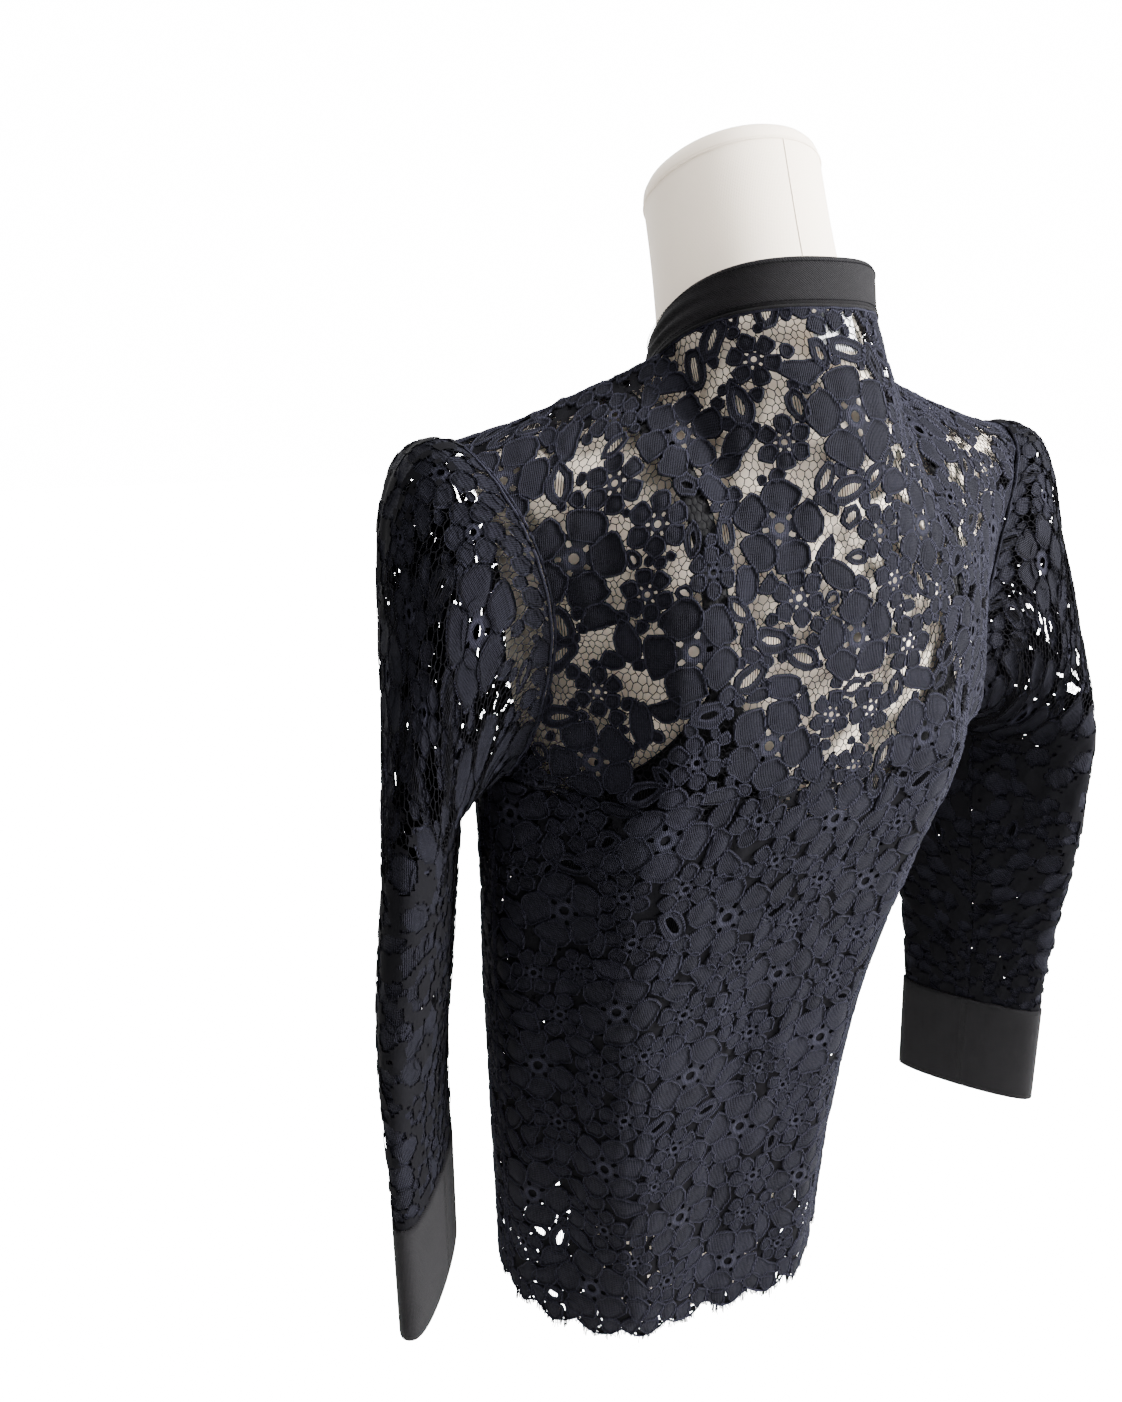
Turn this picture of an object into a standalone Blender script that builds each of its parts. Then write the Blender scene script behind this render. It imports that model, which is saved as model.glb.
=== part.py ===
"""Corded lace blouse on a limbless dress form.

Metres, +Z up. The figure faces -Y, +X is its left side, and the form stands on z = 0. Every cloth piece is a
thin wall over a grid of points that is worked out from the section tables below.
"""

import math
from collections import namedtuple

import bpy
import numpy as np

# Walls and clearances
SEAM_GAP = 0.0003
LACE_WALL = 0.0015
BAND_WALL = 0.0024
LINING_WALL = 0.0012
LINING_CLEARANCE = 0.0038
STRAP_WALL = 0.0010
STRAP_CLEARANCE = 0.0015
LABEL_WALL = 0.0006

# Heights of the blouse
HEM_HEIGHT = 0.034
UNDERARM_HEIGHT = 0.430
CHEST_HEIGHT = 0.505

# The grid of a body panel: columns from side to side, rows from the hem up
PANEL_COLUMNS = 18
NECK_COLUMNS = 8
ROWS_TO_UNDERARM = 17
ROWS_TO_CHEST = 3
ROWS_TO_SHOULDER = 7

# Sections of the lace body. Depths are measured from the side seam's plane.
# The sway is how far the section hangs to the left and to the back of the form's middle.
Section = namedtuple("Section", "name height half_width back front sway_left sway_back")
LACE_SECTIONS = (
    Section("hem", 0.034, 0.128, 0.090, 0.094, 0.032, -0.026),
    Section("hip", 0.130, 0.134, 0.091, 0.096, 0.030, -0.023),
    Section("waist", 0.270, 0.148, 0.094, 0.104, 0.024, -0.013),
    Section("ribs", 0.360, 0.161, 0.102, 0.116, 0.014, -0.005),
    Section("underarm", 0.430, 0.173, 0.111, 0.126, 0.005, 0.000),
    Section("chest", 0.505, 0.168, 0.111, 0.120, 0.000, 0.000),
)
FORM_SECTIONS = (
    Section("base", 0.000, 0.082, 0.050, 0.056, 0.020, -0.022),
    Section("hip", 0.110, 0.088, 0.056, 0.062, 0.018, -0.020),
    Section("waist", 0.270, 0.090, 0.066, 0.068, 0.010, -0.008),
    Section("ribs", 0.350, 0.112, 0.082, 0.090, 0.004, -0.002),
    Section("bust", 0.430, 0.140, 0.097, 0.110, 0.000, 0.000),
    Section("chest", 0.500, 0.150, 0.101, 0.110, 0.000, 0.000),
)

# Armhole and shoulder of the lace and of the form: the armhole's notch, the shoulder point, the neck's side
# point and the neckline's depth behind and before the side seam's plane.
Yoke = namedtuple(
    "Yoke",
    "notch_half_width notch_back notch_front shoulder_half_width shoulder_height "
    "neck_half_width neck_height neck_back neck_back_height neck_front neck_front_height",
)
LACE_YOKE = Yoke(0.160, 0.046, 0.052, 0.196, 0.622, 0.068, 0.668, 0.066, 0.692, 0.070, 0.640)
FORM_YOKE = Yoke(0.146, 0.040, 0.046, 0.184, 0.6225, 0.060, 0.660, 0.056, 0.684, 0.051, 0.630)

EDGE_TURN_AT_SEAM = math.radians(90)
EDGE_TURN_AT_NOTCH = math.radians(58)
ROUNDNESS = 2.2

# Soft folds of the lace body: where each crosses the panel at its top and bottom (-1 right, 1 left side seam),
# the heights that it runs between, its half width across the panel, and how far it stands out.
Fold = namedtuple("Fold", "panel top_across bottom_across top bottom half_width depth")
FOLDS = (
    Fold("back", 0.62, 0.42, 0.66, 0.05, 0.16, 0.010),
    Fold("back", 0.78, 0.70, 0.52, 0.10, 0.12, -0.009),
    Fold("back", 0.05, 0.12, 0.36, 0.03, 0.10, -0.004),
    Fold("back", -0.38, -0.30, 0.50, 0.03, 0.12, 0.007),
    Fold("back", -0.68, -0.62, 0.50, 0.06, 0.12, -0.008),
    Fold("front", 0.55, 0.50, 0.48, 0.03, 0.14, 0.008),
    Fold("front", 0.10, 0.18, 0.40, 0.03, 0.12, -0.005),
    Fold("front", -0.48, -0.55, 0.48, 0.03, 0.14, 0.008),
)

# Scallops of the hem
SCALLOPS_PER_PANEL = 6
SCALLOP_DEPTH = 0.010

# Largest gaps of the lace's repeat: place in the repeat and size of the gap
REPEAT_WIDTH = 0.150
REPEAT_HEIGHT = 0.176
Gap = namedtuple("Gap", "across up width height")
LACE_GAPS = (
    Gap(0.012, 0.018, 0.013, 0.016),
    Gap(0.092, 0.034, 0.012, 0.015),
    Gap(0.128, 0.084, 0.013, 0.017),
    Gap(0.042, 0.096, 0.012, 0.016),
    Gap(0.086, 0.138, 0.013, 0.014),
    Gap(0.006, 0.150, 0.012, 0.015),
)
GAP_SIDES = 6

# Sleeves: flattened rings from the upper arm to the wrist. The ring's long axis is turned in plan from the
# back towards the sleeve's outer side.
Ring = namedtuple("Ring", "name height centre_x centre_y half_width half_thickness turn")
SLEEVE_RINGS = (
    Ring("upper_arm", 0.398, 0.220, 0.000, 0.078, 0.018, math.radians(28)),
    Ring("elbow", 0.310, 0.228, 0.002, 0.070, 0.017, math.radians(30)),
    Ring("forearm", 0.245, 0.232, 0.006, 0.058, 0.012, math.radians(33)),
    Ring("wrist", 0.178, 0.232, 0.010, 0.051, 0.010, math.radians(34)),
)
CUFF_BOTTOM = Ring("cuff_bottom", 0.100, 0.232, 0.013, 0.050, 0.010, math.radians(34))
SLEEVE_COLUMNS = 16
CAP_ROWS = 7
SLEEVE_ROWS = 12
CUFF_ROWS = 3
CAP_PUFF = 0.046
GATHERS = 9
GATHER_DEPTH = 0.0022

# Collar band
COLLAR_HEIGHT = 0.0245
COLLAR_LEAN = 0.003
COLLAR_COLUMNS = 32
BUTTON_RADIUS = 0.0055
BUTTON_THICKNESS = 0.0030

# Lining: its lower edge and the heights of its upper edge
LINING_BOTTOM = 0.078
LINING_VERTEX = 0.374
LINING_STRAP_POINT = 0.510
LINING_SIDE = 0.405
LINING_ROWS = 9
STRAP_ACROSS = 0.50
STRAP_ACROSS_SHOULDER = 0.60
STRAP_WIDTH = 0.016

# The form: its grid, neck and neck cap
FORM_COLUMNS = 16
FORM_NECK_COLUMNS = 8
FORM_ROWS = 12
FORM_CHEST_ROWS = 3
FORM_YOKE_ROWS = 6
NECK_LEAN = math.radians(19)
NECK_TOP_RADIUS = 0.053
CAP_TILT = math.radians(24)
NECK_LENGTH = 0.106
CAP_HEIGHT = 0.016
CAP_PROFILE = ((1.0, 0.25), (0.95, 0.62), (0.78, 0.88), (0.45, 1.0))
NECK_ROWS = 6

# Blank label inside the back of the neck
LABEL_WIDTH = 0.030
LABEL_HEIGHT = 0.022
LABEL_DROP = 0.003
LABEL_CLEARANCE = 0.0008

# Colours, roughness and metallic value of the pieces
Finish = namedtuple("Finish", "colour roughness metallic")
FINISHES = {
    "lace": Finish((0.028, 0.030, 0.040, 1.0), 0.75, 0.0),
    "twill": Finish((0.034, 0.033, 0.037, 1.0), 0.80, 0.0),
    "lining": Finish((0.012, 0.012, 0.014, 1.0), 0.55, 0.0),
    "jersey": Finish((0.80, 0.76, 0.70, 1.0), 0.85, 0.0),
    "label": Finish((0.86, 0.86, 0.86, 1.0), 0.60, 0.0),
    "button": Finish((0.020, 0.020, 0.022, 1.0), 0.35, 0.0),
}


def clear_scene():
    """Remove every object of the scene."""
    for old in list(bpy.data.objects):
        bpy.data.objects.remove(old, do_unlink=True)


def smooth_table(heights, values, height):
    """Value at a height on a smooth curve through a table's rows."""
    heights = np.asarray(heights, float)
    values = np.asarray(values, float)
    slopes = np.gradient(values, heights)
    height = np.clip(height, heights[0], heights[-1])
    i = np.clip(np.searchsorted(heights, height) - 1, 0, len(heights) - 2)
    span = heights[i + 1] - heights[i]
    u = (height - heights[i]) / span
    return (
        (2 * u**3 - 3 * u**2 + 1) * values[i]
        + (u**3 - 2 * u**2 + u) * span * slopes[i]
        + (3 * u**2 - 2 * u**3) * values[i + 1]
        + (u**3 - u**2) * span * slopes[i + 1]
    )


def signed_power(value, power):
    """Power of the size of a number, with its sign kept."""
    return math.copysign(abs(value) ** power, value)


def even_steps(points, count):
    """The points of a polyline at even steps of its length."""
    points = np.asarray(points, float)
    lengths = np.concatenate([[0.0], np.cumsum(np.linalg.norm(np.diff(points, axis=0), axis=1))])
    wanted = np.linspace(0.0, lengths[-1], count + 1)
    return np.stack([np.interp(wanted, lengths, points[:, k]) for k in range(3)], axis=1)


def arc_row(half_width, edge_depth, mid_depth, turn, height, count):
    """One row across a panel from the right edge to the left edge, round the middle, at even steps."""
    across = []
    for phi in np.linspace(-turn, turn, 121):
        x = signed_power(math.sin(phi), 2 / ROUNDNESS) / math.sin(turn) ** (2 / ROUNDNESS)
        end = math.cos(turn) ** (2 / ROUNDNESS) if math.cos(turn) > 1e-9 else 0.0
        y = (math.cos(phi) ** (2 / ROUNDNESS) if math.cos(phi) > 1e-9 else 0.0) - end
        across.append((half_width * x, edge_depth + (mid_depth - edge_depth) * y / (1 - end), height))
    return even_steps(across, count)


def body_row(sections, yoke, side, height, count):
    """A level row of the body, up to the chest. side is 1 for the back and -1 for the front."""
    heights = [s.height for s in sections]
    half_width = smooth_table(heights, [s.half_width for s in sections], height)
    depth = smooth_table(heights, [s.back if side > 0 else s.front for s in sections], height)
    notch = yoke.notch_back if side > 0 else yoke.notch_front
    rise = min(max((height - UNDERARM_HEIGHT) / (CHEST_HEIGHT - UNDERARM_HEIGHT), 0.0), 1.0)
    edge = notch * math.sqrt(1 - (1 - rise) ** 2)
    half_width += (yoke.notch_half_width - half_width) * rise
    turn = EDGE_TURN_AT_SEAM + (EDGE_TURN_AT_NOTCH - EDGE_TURN_AT_SEAM) * rise
    row = arc_row(half_width, edge, depth, turn, height, count) * (1, side, 1)
    sway_left = smooth_table(heights, [s.sway_left for s in sections], height)
    sway_back = smooth_table(heights, [s.sway_back for s in sections], height)
    return row + (sway_left, sway_back, 0)


def top_edge(yoke, side, count, neck_count):
    """The panel's upper edge: right shoulder seam, neckline and left shoulder seam."""
    depth = yoke.neck_back if side > 0 else yoke.neck_front
    middle_height = yoke.neck_back_height if side > 0 else yoke.neck_front_height
    shoulder_count = (count - neck_count) // 2
    points = []
    for k in range(count + 1):
        if k < shoulder_count or k > count - shoulder_count:
            sign = -1 if k < shoulder_count else 1
            u = min(k, count - k) / shoulder_count
            x = yoke.shoulder_half_width + (yoke.neck_half_width - yoke.shoulder_half_width) * u
            z = yoke.shoulder_height + (yoke.neck_height - yoke.shoulder_height) * u
            z -= 0.004 * math.sin(math.pi * u)
            points.append((sign * x, 0.0, z))
        else:
            phi = math.pi * (k - shoulder_count) / neck_count
            drop = (1 - math.sin(phi)) ** 1.5
            z = middle_height + (yoke.neck_height - middle_height) * drop
            points.append((-yoke.neck_half_width * math.cos(phi), side * depth * math.sin(phi), z))
    return np.array(points)


def bezier(p0, p1, p2, p3, u):
    """Point of a cubic curve."""
    return (1 - u) ** 3 * p0 + 3 * (1 - u) ** 2 * u * p1 + 3 * (1 - u) * u**2 * p2 + u**3 * p3


def yoke_rows(sections, yoke, side, count, neck_count, rows):
    """Rows from the chest over the shoulder blade to the shoulder seam and the neckline."""
    chest = body_row(sections, yoke, side, CHEST_HEIGHT, count)
    below = body_row(sections, yoke, side, CHEST_HEIGHT - 0.01, count)
    top = top_edge(yoke, side, count, neck_count)
    rising = (chest - below) / 0.01
    half_neck = neck_count / count
    grid = []
    for u in np.linspace(0, 1, rows + 1)[1:]:
        row = []
        for k in range(count + 1):
            reach = np.linalg.norm(top[k] - chest[k])
            away = abs(2 * k / count - 1)
            flat = min(max((away - half_neck * 0.6) / (1 - half_neck * 0.6), 0.0), 1.0) ** 0.6
            leave = np.array((0.0, -side * (0.45 + 0.55 * flat), 0.9 * (1 - flat)))
            leave /= np.linalg.norm(leave)
            row.append(
                bezier(
                    chest[k],
                    chest[k] + rising[k] * reach * 0.42,
                    top[k] - leave * reach * (0.30 + 0.06 * flat),
                    top[k],
                    u,
                )
            )
        grid.append(row)
    return np.array(grid)


def body_grid(sections, yoke, side, count, neck_count, heights, yoke_count):
    """Rows of points of a whole panel, from its lower edge to its upper edge."""
    level = [body_row(sections, yoke, side, height, count) for height in heights]
    upper = yoke_rows(sections, yoke, side, count, neck_count, yoke_count)
    return np.concatenate([np.array(level), upper])


def grid_normals(grid, outwards):
    """Unit normals of a grid. outwards is 1 or -1, whichever turns them out of the body."""
    up = np.gradient(grid, axis=0)
    across = np.gradient(grid, axis=1)
    normals = np.cross(across, up) * outwards
    return normals / np.maximum(np.linalg.norm(normals, axis=2, keepdims=True), 1e-12)


def panel_normals(grid, side):
    """Outward normals of a body panel, level with the seam plane along the side and shoulder seams."""
    normals = grid_normals(grid, side_turn(side))
    below_underarm = slice(0, ROWS_TO_UNDERARM + 1)
    shoulder = (PANEL_COLUMNS - NECK_COLUMNS) // 2
    normals[below_underarm, 0, 1] = 0.0
    normals[below_underarm, -1, 1] = 0.0
    normals[-1, : shoulder + 1, 1] = 0.0
    normals[-1, -shoulder - 1 :, 1] = 0.0
    return normals / np.linalg.norm(normals, axis=2, keepdims=True)


def place_on(grid, i, j):
    """A place on a grid at a fractional row and column."""
    low_i, low_j = min(int(i), grid.shape[0] - 2), min(int(j), grid.shape[1] - 2)
    u, v = i - low_i, j - low_j
    low = grid[low_i, low_j] * (1 - v) + grid[low_i, low_j + 1] * v
    high = grid[low_i + 1, low_j] * (1 - v) + grid[low_i + 1, low_j + 1] * v
    return low * (1 - u) + high * u


def pulled_back(grid, distance, first_row=True, last_row=True, columns=True):
    """The grid with its seam edges moved in by a distance."""
    grid = grid.copy()

    def move(edge, inner):
        step = inner - edge
        return edge + step / np.linalg.norm(step, axis=-1, keepdims=True) * distance

    if first_row:
        grid[0] = move(grid[0], grid[1])
    if last_row:
        grid[-1] = move(grid[-1], grid[-2])
    if columns:
        grid[:, 0] = move(grid[:, 0], grid[:, 1])
        grid[:, -1] = move(grid[:, -1], grid[:, -2])
    return grid


class WallBuilder:
    """Collects the points and faces of a thin wall between an outer and an inner grid."""

    def __init__(self, outer, inner, wrap=False):
        self.rows, self.columns = outer.shape[:2]
        self.wrap = wrap
        self.grids = (outer, inner)
        self.points = []
        self.faces = []
        self.known = {}

    def point(self, layer, key, place):
        """Number of a point, made once for each key."""
        if (layer, key) not in self.known:
            self.known[layer, key] = len(self.points)
            self.points.append(tuple(float(value) for value in place))
        return self.known[layer, key]

    def corner(self, layer, i, j):
        """Number of a grid point."""
        j = j % self.columns if self.wrap else j
        return self.point(layer, (i, j), self.grids[layer][i, j])

    def inside(self, layer, i, j, across, up):
        """A place inside a cell, from 0 to 1 each way."""
        grid = self.grids[layer]
        right = (j + 1) % self.columns if self.wrap else j + 1
        low = grid[i, j] * (1 - across) + grid[i, right] * across
        high = grid[i + 1, j] * (1 - across) + grid[i + 1, right] * across
        return low * (1 - up) + high * up

    def loop(self, layer, i, j, midpoints):
        """Corner numbers round a cell, with the lower edge's midpoint where there is one."""
        corners = [self.corner(layer, i, j)]
        if i == 0 and midpoints is not None:
            corners.append(self.point(layer, ("mid", j), midpoints[layer][j]))
        for row, column in ((i, j + 1), (i + 1, j + 1), (i + 1, j)):
            corners.append(self.corner(layer, row, column))
        return corners

    def add_face(self, layer, numbers):
        """Add a face that looks out of the wall."""
        self.faces.append(numbers if layer == 0 else numbers[::-1])

    def add_cell(self, i, j, midpoints):
        """Faces of a whole cell, split along the same diagonal in both layers."""
        right = (j + 1) % self.columns if self.wrap else j + 1
        grid = self.grids[0]
        rising = np.linalg.norm(grid[i + 1, right] - grid[i, j])
        falling = np.linalg.norm(grid[i + 1, j] - grid[i, right])
        for layer in (0, 1):
            numbers = self.loop(layer, i, j, midpoints)
            if len(numbers) > 4:
                self.add_face(layer, numbers[:3])
                numbers = [numbers[0]] + numbers[2:]
            first, second, third, fourth = numbers
            if rising <= falling:
                self.add_face(layer, [first, second, third])
                self.add_face(layer, [first, third, fourth])
            else:
                self.add_face(layer, [first, second, fourth])
                self.add_face(layer, [second, third, fourth])

    def add_gap(self, i, j, half_across, half_up, turn):
        """Leave a many-sided hole in one cell."""
        angles = [turn + 2 * math.pi * k / GAP_SIDES for k in range(GAP_SIDES)]
        rims = []
        for layer in (0, 1):
            rim = []
            for k, angle in enumerate(angles):
                place = self.inside(
                    layer, i, j, 0.5 + half_across * math.cos(angle), 0.5 + half_up * math.sin(angle)
                )
                rim.append(self.point(layer, ("gap", i, j, k), place))
            rims.append(rim)
            corners = self.loop(layer, i, j, None)
            corner_angles = [math.atan2(v, u) % (2 * math.pi) for u, v in ((-1, -1), (1, -1), (1, 1), (-1, 1))]
            self.add_ring(layer, corners, corner_angles, rim, [a % (2 * math.pi) for a in angles])
        for k in range(GAP_SIDES):
            after = (k + 1) % GAP_SIDES
            self.faces.append([rims[0][k], rims[0][after], rims[1][after], rims[1][k]])

    def add_ring(self, layer, outer, outer_angles, inner, inner_angles):
        """Triangles between a cell's corners and the rim of its hole."""
        outer_order = sorted(range(len(outer)), key=lambda k: outer_angles[k])
        inner_order = sorted(range(len(inner)), key=lambda k: inner_angles[k])
        a, b = 0, 0
        while a < len(outer) or b < len(inner):
            turns_a = outer_angles[outer_order[a % len(outer)]] + 2 * math.pi * (a // len(outer))
            turns_b = inner_angles[inner_order[b % len(inner)]] + 2 * math.pi * (b // len(inner))
            out_now = outer[outer_order[(a - 1) % len(outer)]]
            in_now = inner[inner_order[(b - 1) % len(inner)]]
            if b >= len(inner) or (a < len(outer) and turns_a <= turns_b):
                after = outer[outer_order[a % len(outer)]]
                self.add_face(layer, [out_now, after, in_now])
                a += 1
            else:
                after = inner[inner_order[b % len(inner)]]
                self.add_face(layer, [out_now, after, in_now])
                b += 1

    def build(self, gaps=None, midpoints=None):
        """Faces of both layers and of the wall's edges. gaps maps (row, column) to a hole's size and turn."""
        gaps = gaps or {}
        cells = self.columns if self.wrap else self.columns - 1
        for i in range(self.rows - 1):
            for j in range(cells):
                if (i, j) in gaps:
                    self.add_gap(i, j, *gaps[i, j])
                    continue
                self.add_cell(i, j, midpoints)
        for j in range(cells):
            self.add_rim((0, j), (0, j + 1), midpoints, j)
            self.add_rim((self.rows - 1, j + 1), (self.rows - 1, j), None, j)
        if not self.wrap:
            for i in range(self.rows - 1):
                self.add_rim((i + 1, 0), (i, 0), None, 0)
                self.add_rim((i, self.columns - 1), (i + 1, self.columns - 1), None, 0)
        return self.points, self.faces

    def add_rim(self, start, end, midpoints, j):
        """The strip that closes the wall along one edge."""
        outer = [self.corner(0, *start)]
        inner = [self.corner(1, *start)]
        if midpoints is not None:
            outer.append(self.point(0, ("mid", j), midpoints[0][j]))
            inner.append(self.point(1, ("mid", j), midpoints[1][j]))
        outer.append(self.corner(0, *end))
        inner.append(self.corner(1, *end))
        for k in range(len(outer) - 1):
            self.faces.append([outer[k + 1], outer[k], inner[k], inner[k + 1]])


def finish_material(name):
    """The plain material of a finish."""
    if name in bpy.data.materials:
        return bpy.data.materials[name]
    finish = FINISHES[name]
    material = bpy.data.materials.new(name)
    material.use_nodes = True
    shader = material.node_tree.nodes["Principled BSDF"]
    shader.inputs["Base Color"].default_value = finish.colour
    shader.inputs["Roughness"].default_value = finish.roughness
    shader.inputs["Metallic"].default_value = finish.metallic
    material.diffuse_color = finish.colour
    return material


def add_object(name, points, faces, finish, outwards=1):
    """A closed mesh object. outwards is -1 where the faces were listed the other way round."""
    mesh = bpy.data.meshes.new(name)
    mesh.from_pydata(points, [], [face if outwards > 0 else face[::-1] for face in faces])
    mesh.validate()
    mesh.update()
    mesh.shade_smooth()
    mesh.set_sharp_from_angle(angle=math.radians(50))
    mesh.materials.append(finish_material(finish))
    piece = bpy.data.objects.new(name, mesh)
    bpy.context.scene.collection.objects.link(piece)
    return piece


def wall_object(name, grid, wall, outwards, finish, gaps=None, wrap=False):
    """A wall whose outer face is the grid and whose thickness goes inwards."""
    inner = grid - grid_normals(grid, outwards) * wall
    points, faces = WallBuilder(grid, inner, wrap).build(gaps)
    return add_object(name, points, faces, finish, outwards)


def fold_offsets(grid, panel, across):
    """How far the panel's folds move each point out."""
    offsets = np.zeros(grid.shape[:2])
    heights = grid[:, :, 2]
    for fold in FOLDS:
        if fold.panel != panel:
            continue
        run = np.clip((heights - fold.bottom) / (fold.top - fold.bottom), 0, 1)
        line = fold.bottom_across + (fold.top_across - fold.bottom_across) * run
        fade = np.clip((fold.top - heights) / 0.06, 0, 1) * np.clip((heights - fold.bottom) / 0.05 + 1, 0, 1)
        offsets += fold.depth * np.exp(-(((across - line) / fold.half_width) ** 2)) * fade
    seam_fade = 1 - np.abs(across) ** 6
    return offsets * seam_fade


def panel_heights():
    """Heights of a lace panel's level rows."""
    lower = np.linspace(HEM_HEIGHT, UNDERARM_HEIGHT, ROWS_TO_UNDERARM + 1)
    upper = np.linspace(UNDERARM_HEIGHT, CHEST_HEIGHT, ROWS_TO_CHEST + 1)[1:]
    return np.concatenate([lower, upper])


def lace_surface(side):
    """Outer points of a lace panel with its folds, before its seam edges are moved in."""
    count = PANEL_COLUMNS
    grid = body_grid(
        LACE_SECTIONS, LACE_YOKE, side, count, NECK_COLUMNS, panel_heights(), ROWS_TO_SHOULDER
    )
    across = np.tile(np.linspace(-1, 1, count + 1), (len(grid), 1))
    panel = "back" if side > 0 else "front"
    return grid + grid_normals(grid, side_turn(side)) * fold_offsets(grid, panel, across)[..., None]


def side_turn(side):
    """Sign that turns a panel's grid normals outwards."""
    return -1 if side > 0 else 1


def scalloped(grid, wall_normals):
    """The grid with its lowest row drawn into scallops, and the scallops' midpoints for both layers."""
    grid = grid.copy()
    count = grid.shape[1] - 1
    turns = math.pi * SCALLOPS_PER_PANEL * np.linspace(0, 1, 2 * count + 1)
    dip = SCALLOP_DEPTH * np.abs(np.sin(turns))
    middles = [(grid[0, j] + grid[0, j + 1]) / 2 for j in range(count)]
    for j in range(count + 1):
        grid[0, j, 2] += SCALLOP_DEPTH / 2 - dip[2 * j]
    outer = [m + np.array((0, 0, SCALLOP_DEPTH / 2 - dip[2 * j + 1])) for j, m in enumerate(middles)]
    inner = [p - (wall_normals[0, j] + wall_normals[0, j + 1]) / 2 * LACE_WALL for j, p in enumerate(outer)]
    return grid, (outer, inner)


def gap_cells(flat_across, flat_up, skip=lambda i, j: False):
    """Cells of a panel that hold one of the repeat's largest gaps."""
    gaps = {}
    for i in range(1, len(flat_up) - 2):
        for j in range(1, flat_across.shape[1] - 2):
            if skip(i, j):
                continue
            left, right = flat_across[i, j], flat_across[i, j + 1]
            low, high = flat_up[i], flat_up[i + 1]
            for gap in LACE_GAPS:
                x = (gap.across - left) % REPEAT_WIDTH
                z = (gap.up - low) % REPEAT_HEIGHT
                if x < right - left and z < high - low:
                    half_across = min(gap.width / (right - left) / 2, 0.36)
                    half_up = min(gap.height / (high - low) / 2, 0.36)
                    turn = 0.3 + 0.7 * math.sin(5 * i + 3 * j)
                    gaps[i, j] = (half_across, half_up, turn)
    return gaps


def flat_places(grid):
    """Distance of each point from the grid's middle line along its row, and the mean height up of each row."""
    steps = np.linalg.norm(np.diff(grid, axis=1), axis=2)
    across = np.concatenate([np.zeros((len(grid), 1)), np.cumsum(steps, axis=1)], axis=1)
    across -= across[:, grid.shape[1] // 2][:, None]
    rises = np.linalg.norm(np.diff(grid, axis=0), axis=2).mean(axis=1)
    return across, np.concatenate([[0.0], np.cumsum(rises)])


def build_panel(side):
    """The back or the front, with scalloped hem and the lace's largest gaps cut through."""
    name = "back" if side > 0 else "front"
    grid = pulled_back(lace_surface(side), SEAM_GAP / 2, first_row=False)
    across, up = flat_places(grid)
    normals = panel_normals(grid, side)
    grid, middles = scalloped(grid, normals)
    inner = grid - normals * LACE_WALL
    points, faces = WallBuilder(grid, inner).build(gap_cells(across, up), middles)
    add_object(name, points, faces, "lace", side_turn(side))


def armhole_edge(side, hand):
    """Points of a panel's armhole from the underarm to the shoulder point. hand is 1 on the left.

    The right armhole's points are mirrored to the left.
    """
    grid = lace_surface(side)
    return grid[ROWS_TO_UNDERARM:, -1 if hand > 0 else 0] * (hand, 1, 1)


def ring_at(height):
    """Sizes of the sleeve's flattened ring at a height below the upper arm."""
    rings = SLEEVE_RINGS[::-1]
    heights = [r.height for r in rings]
    return [
        float(smooth_table(heights, [getattr(r, field) for r in rings], height))
        for field in ("centre_x", "centre_y", "half_width", "half_thickness", "turn")
    ]


def flat_ring(sizes, height, columns):
    """A level flattened ring. It starts at the inner side and runs round by the back to the outer side."""
    centre_x, centre_y, half_width, half_thickness, turn = sizes
    points = []
    for k in range(columns):
        phi = 2 * math.pi * k / columns
        along = half_width * math.sin(phi)
        over = -half_thickness * signed_power(math.cos(phi), 0.8)
        x = centre_x + over * math.cos(turn) + along * math.sin(turn)
        y = centre_y - over * math.sin(turn) + along * math.cos(turn)
        points.append((x, y, height))
    return np.array(points)


def armhole_ring(hand):
    """The armhole as a ring of points, from the underarm by the back and the shoulder to the front."""
    half = SLEEVE_COLUMNS // 2
    back = even_steps(armhole_edge(1, hand), half)
    front = even_steps(armhole_edge(-1, hand), half)
    return np.concatenate([back, front[1:-1][::-1]])


def sleeve_grid(hand):
    """Rings of a sleeve from the armhole over the gathered cap and down to the wrist."""
    start = armhole_ring(hand)
    upper = SLEEVE_RINGS[0]
    end = flat_ring(ring_at(upper.height), upper.height, SLEEVE_COLUMNS)
    middle = start.mean(axis=0)
    rings = []
    for u in np.linspace(0, 1, CAP_ROWS + 1):
        ring = []
        for k in range(SLEEVE_COLUMNS):
            highness = (start[k, 2] - UNDERARM_HEIGHT) / (LACE_YOKE.shoulder_height - UNDERARM_HEIGHT)
            outward = np.array((1.0, 0.12 * np.sign(start[k, 1]), -0.45 + 0.80 * highness))
            reach = CAP_PUFF * (0.32 + 0.68 * highness)
            drop = (start[k, 2] - upper.height) * 0.42
            first = start[k] + outward * SEAM_GAP * 2.0
            point = bezier(
                first, first + outward * reach * 1.25, end[k] + np.array((0, 0, drop)), end[k], u
            )
            wave = math.cos(2 * math.pi * GATHERS * k / SLEEVE_COLUMNS)
            spread = GATHER_DEPTH * wave * highness**2 * math.sin(math.pi * min(u * 1.3, 1.0))
            away = point - np.array((point[0], middle[1], middle[2]))
            point = point + away / max(np.linalg.norm(away), 1e-9) * spread
            ring.append(point)
        rings.append(ring)
    for height in np.linspace(upper.height, SLEEVE_RINGS[-1].height, SLEEVE_ROWS + 1)[1:]:
        rings.append(flat_ring(ring_at(height), height, SLEEVE_COLUMNS))
    grid = np.array(rings)
    return grid * (hand, 1, 1)


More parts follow.
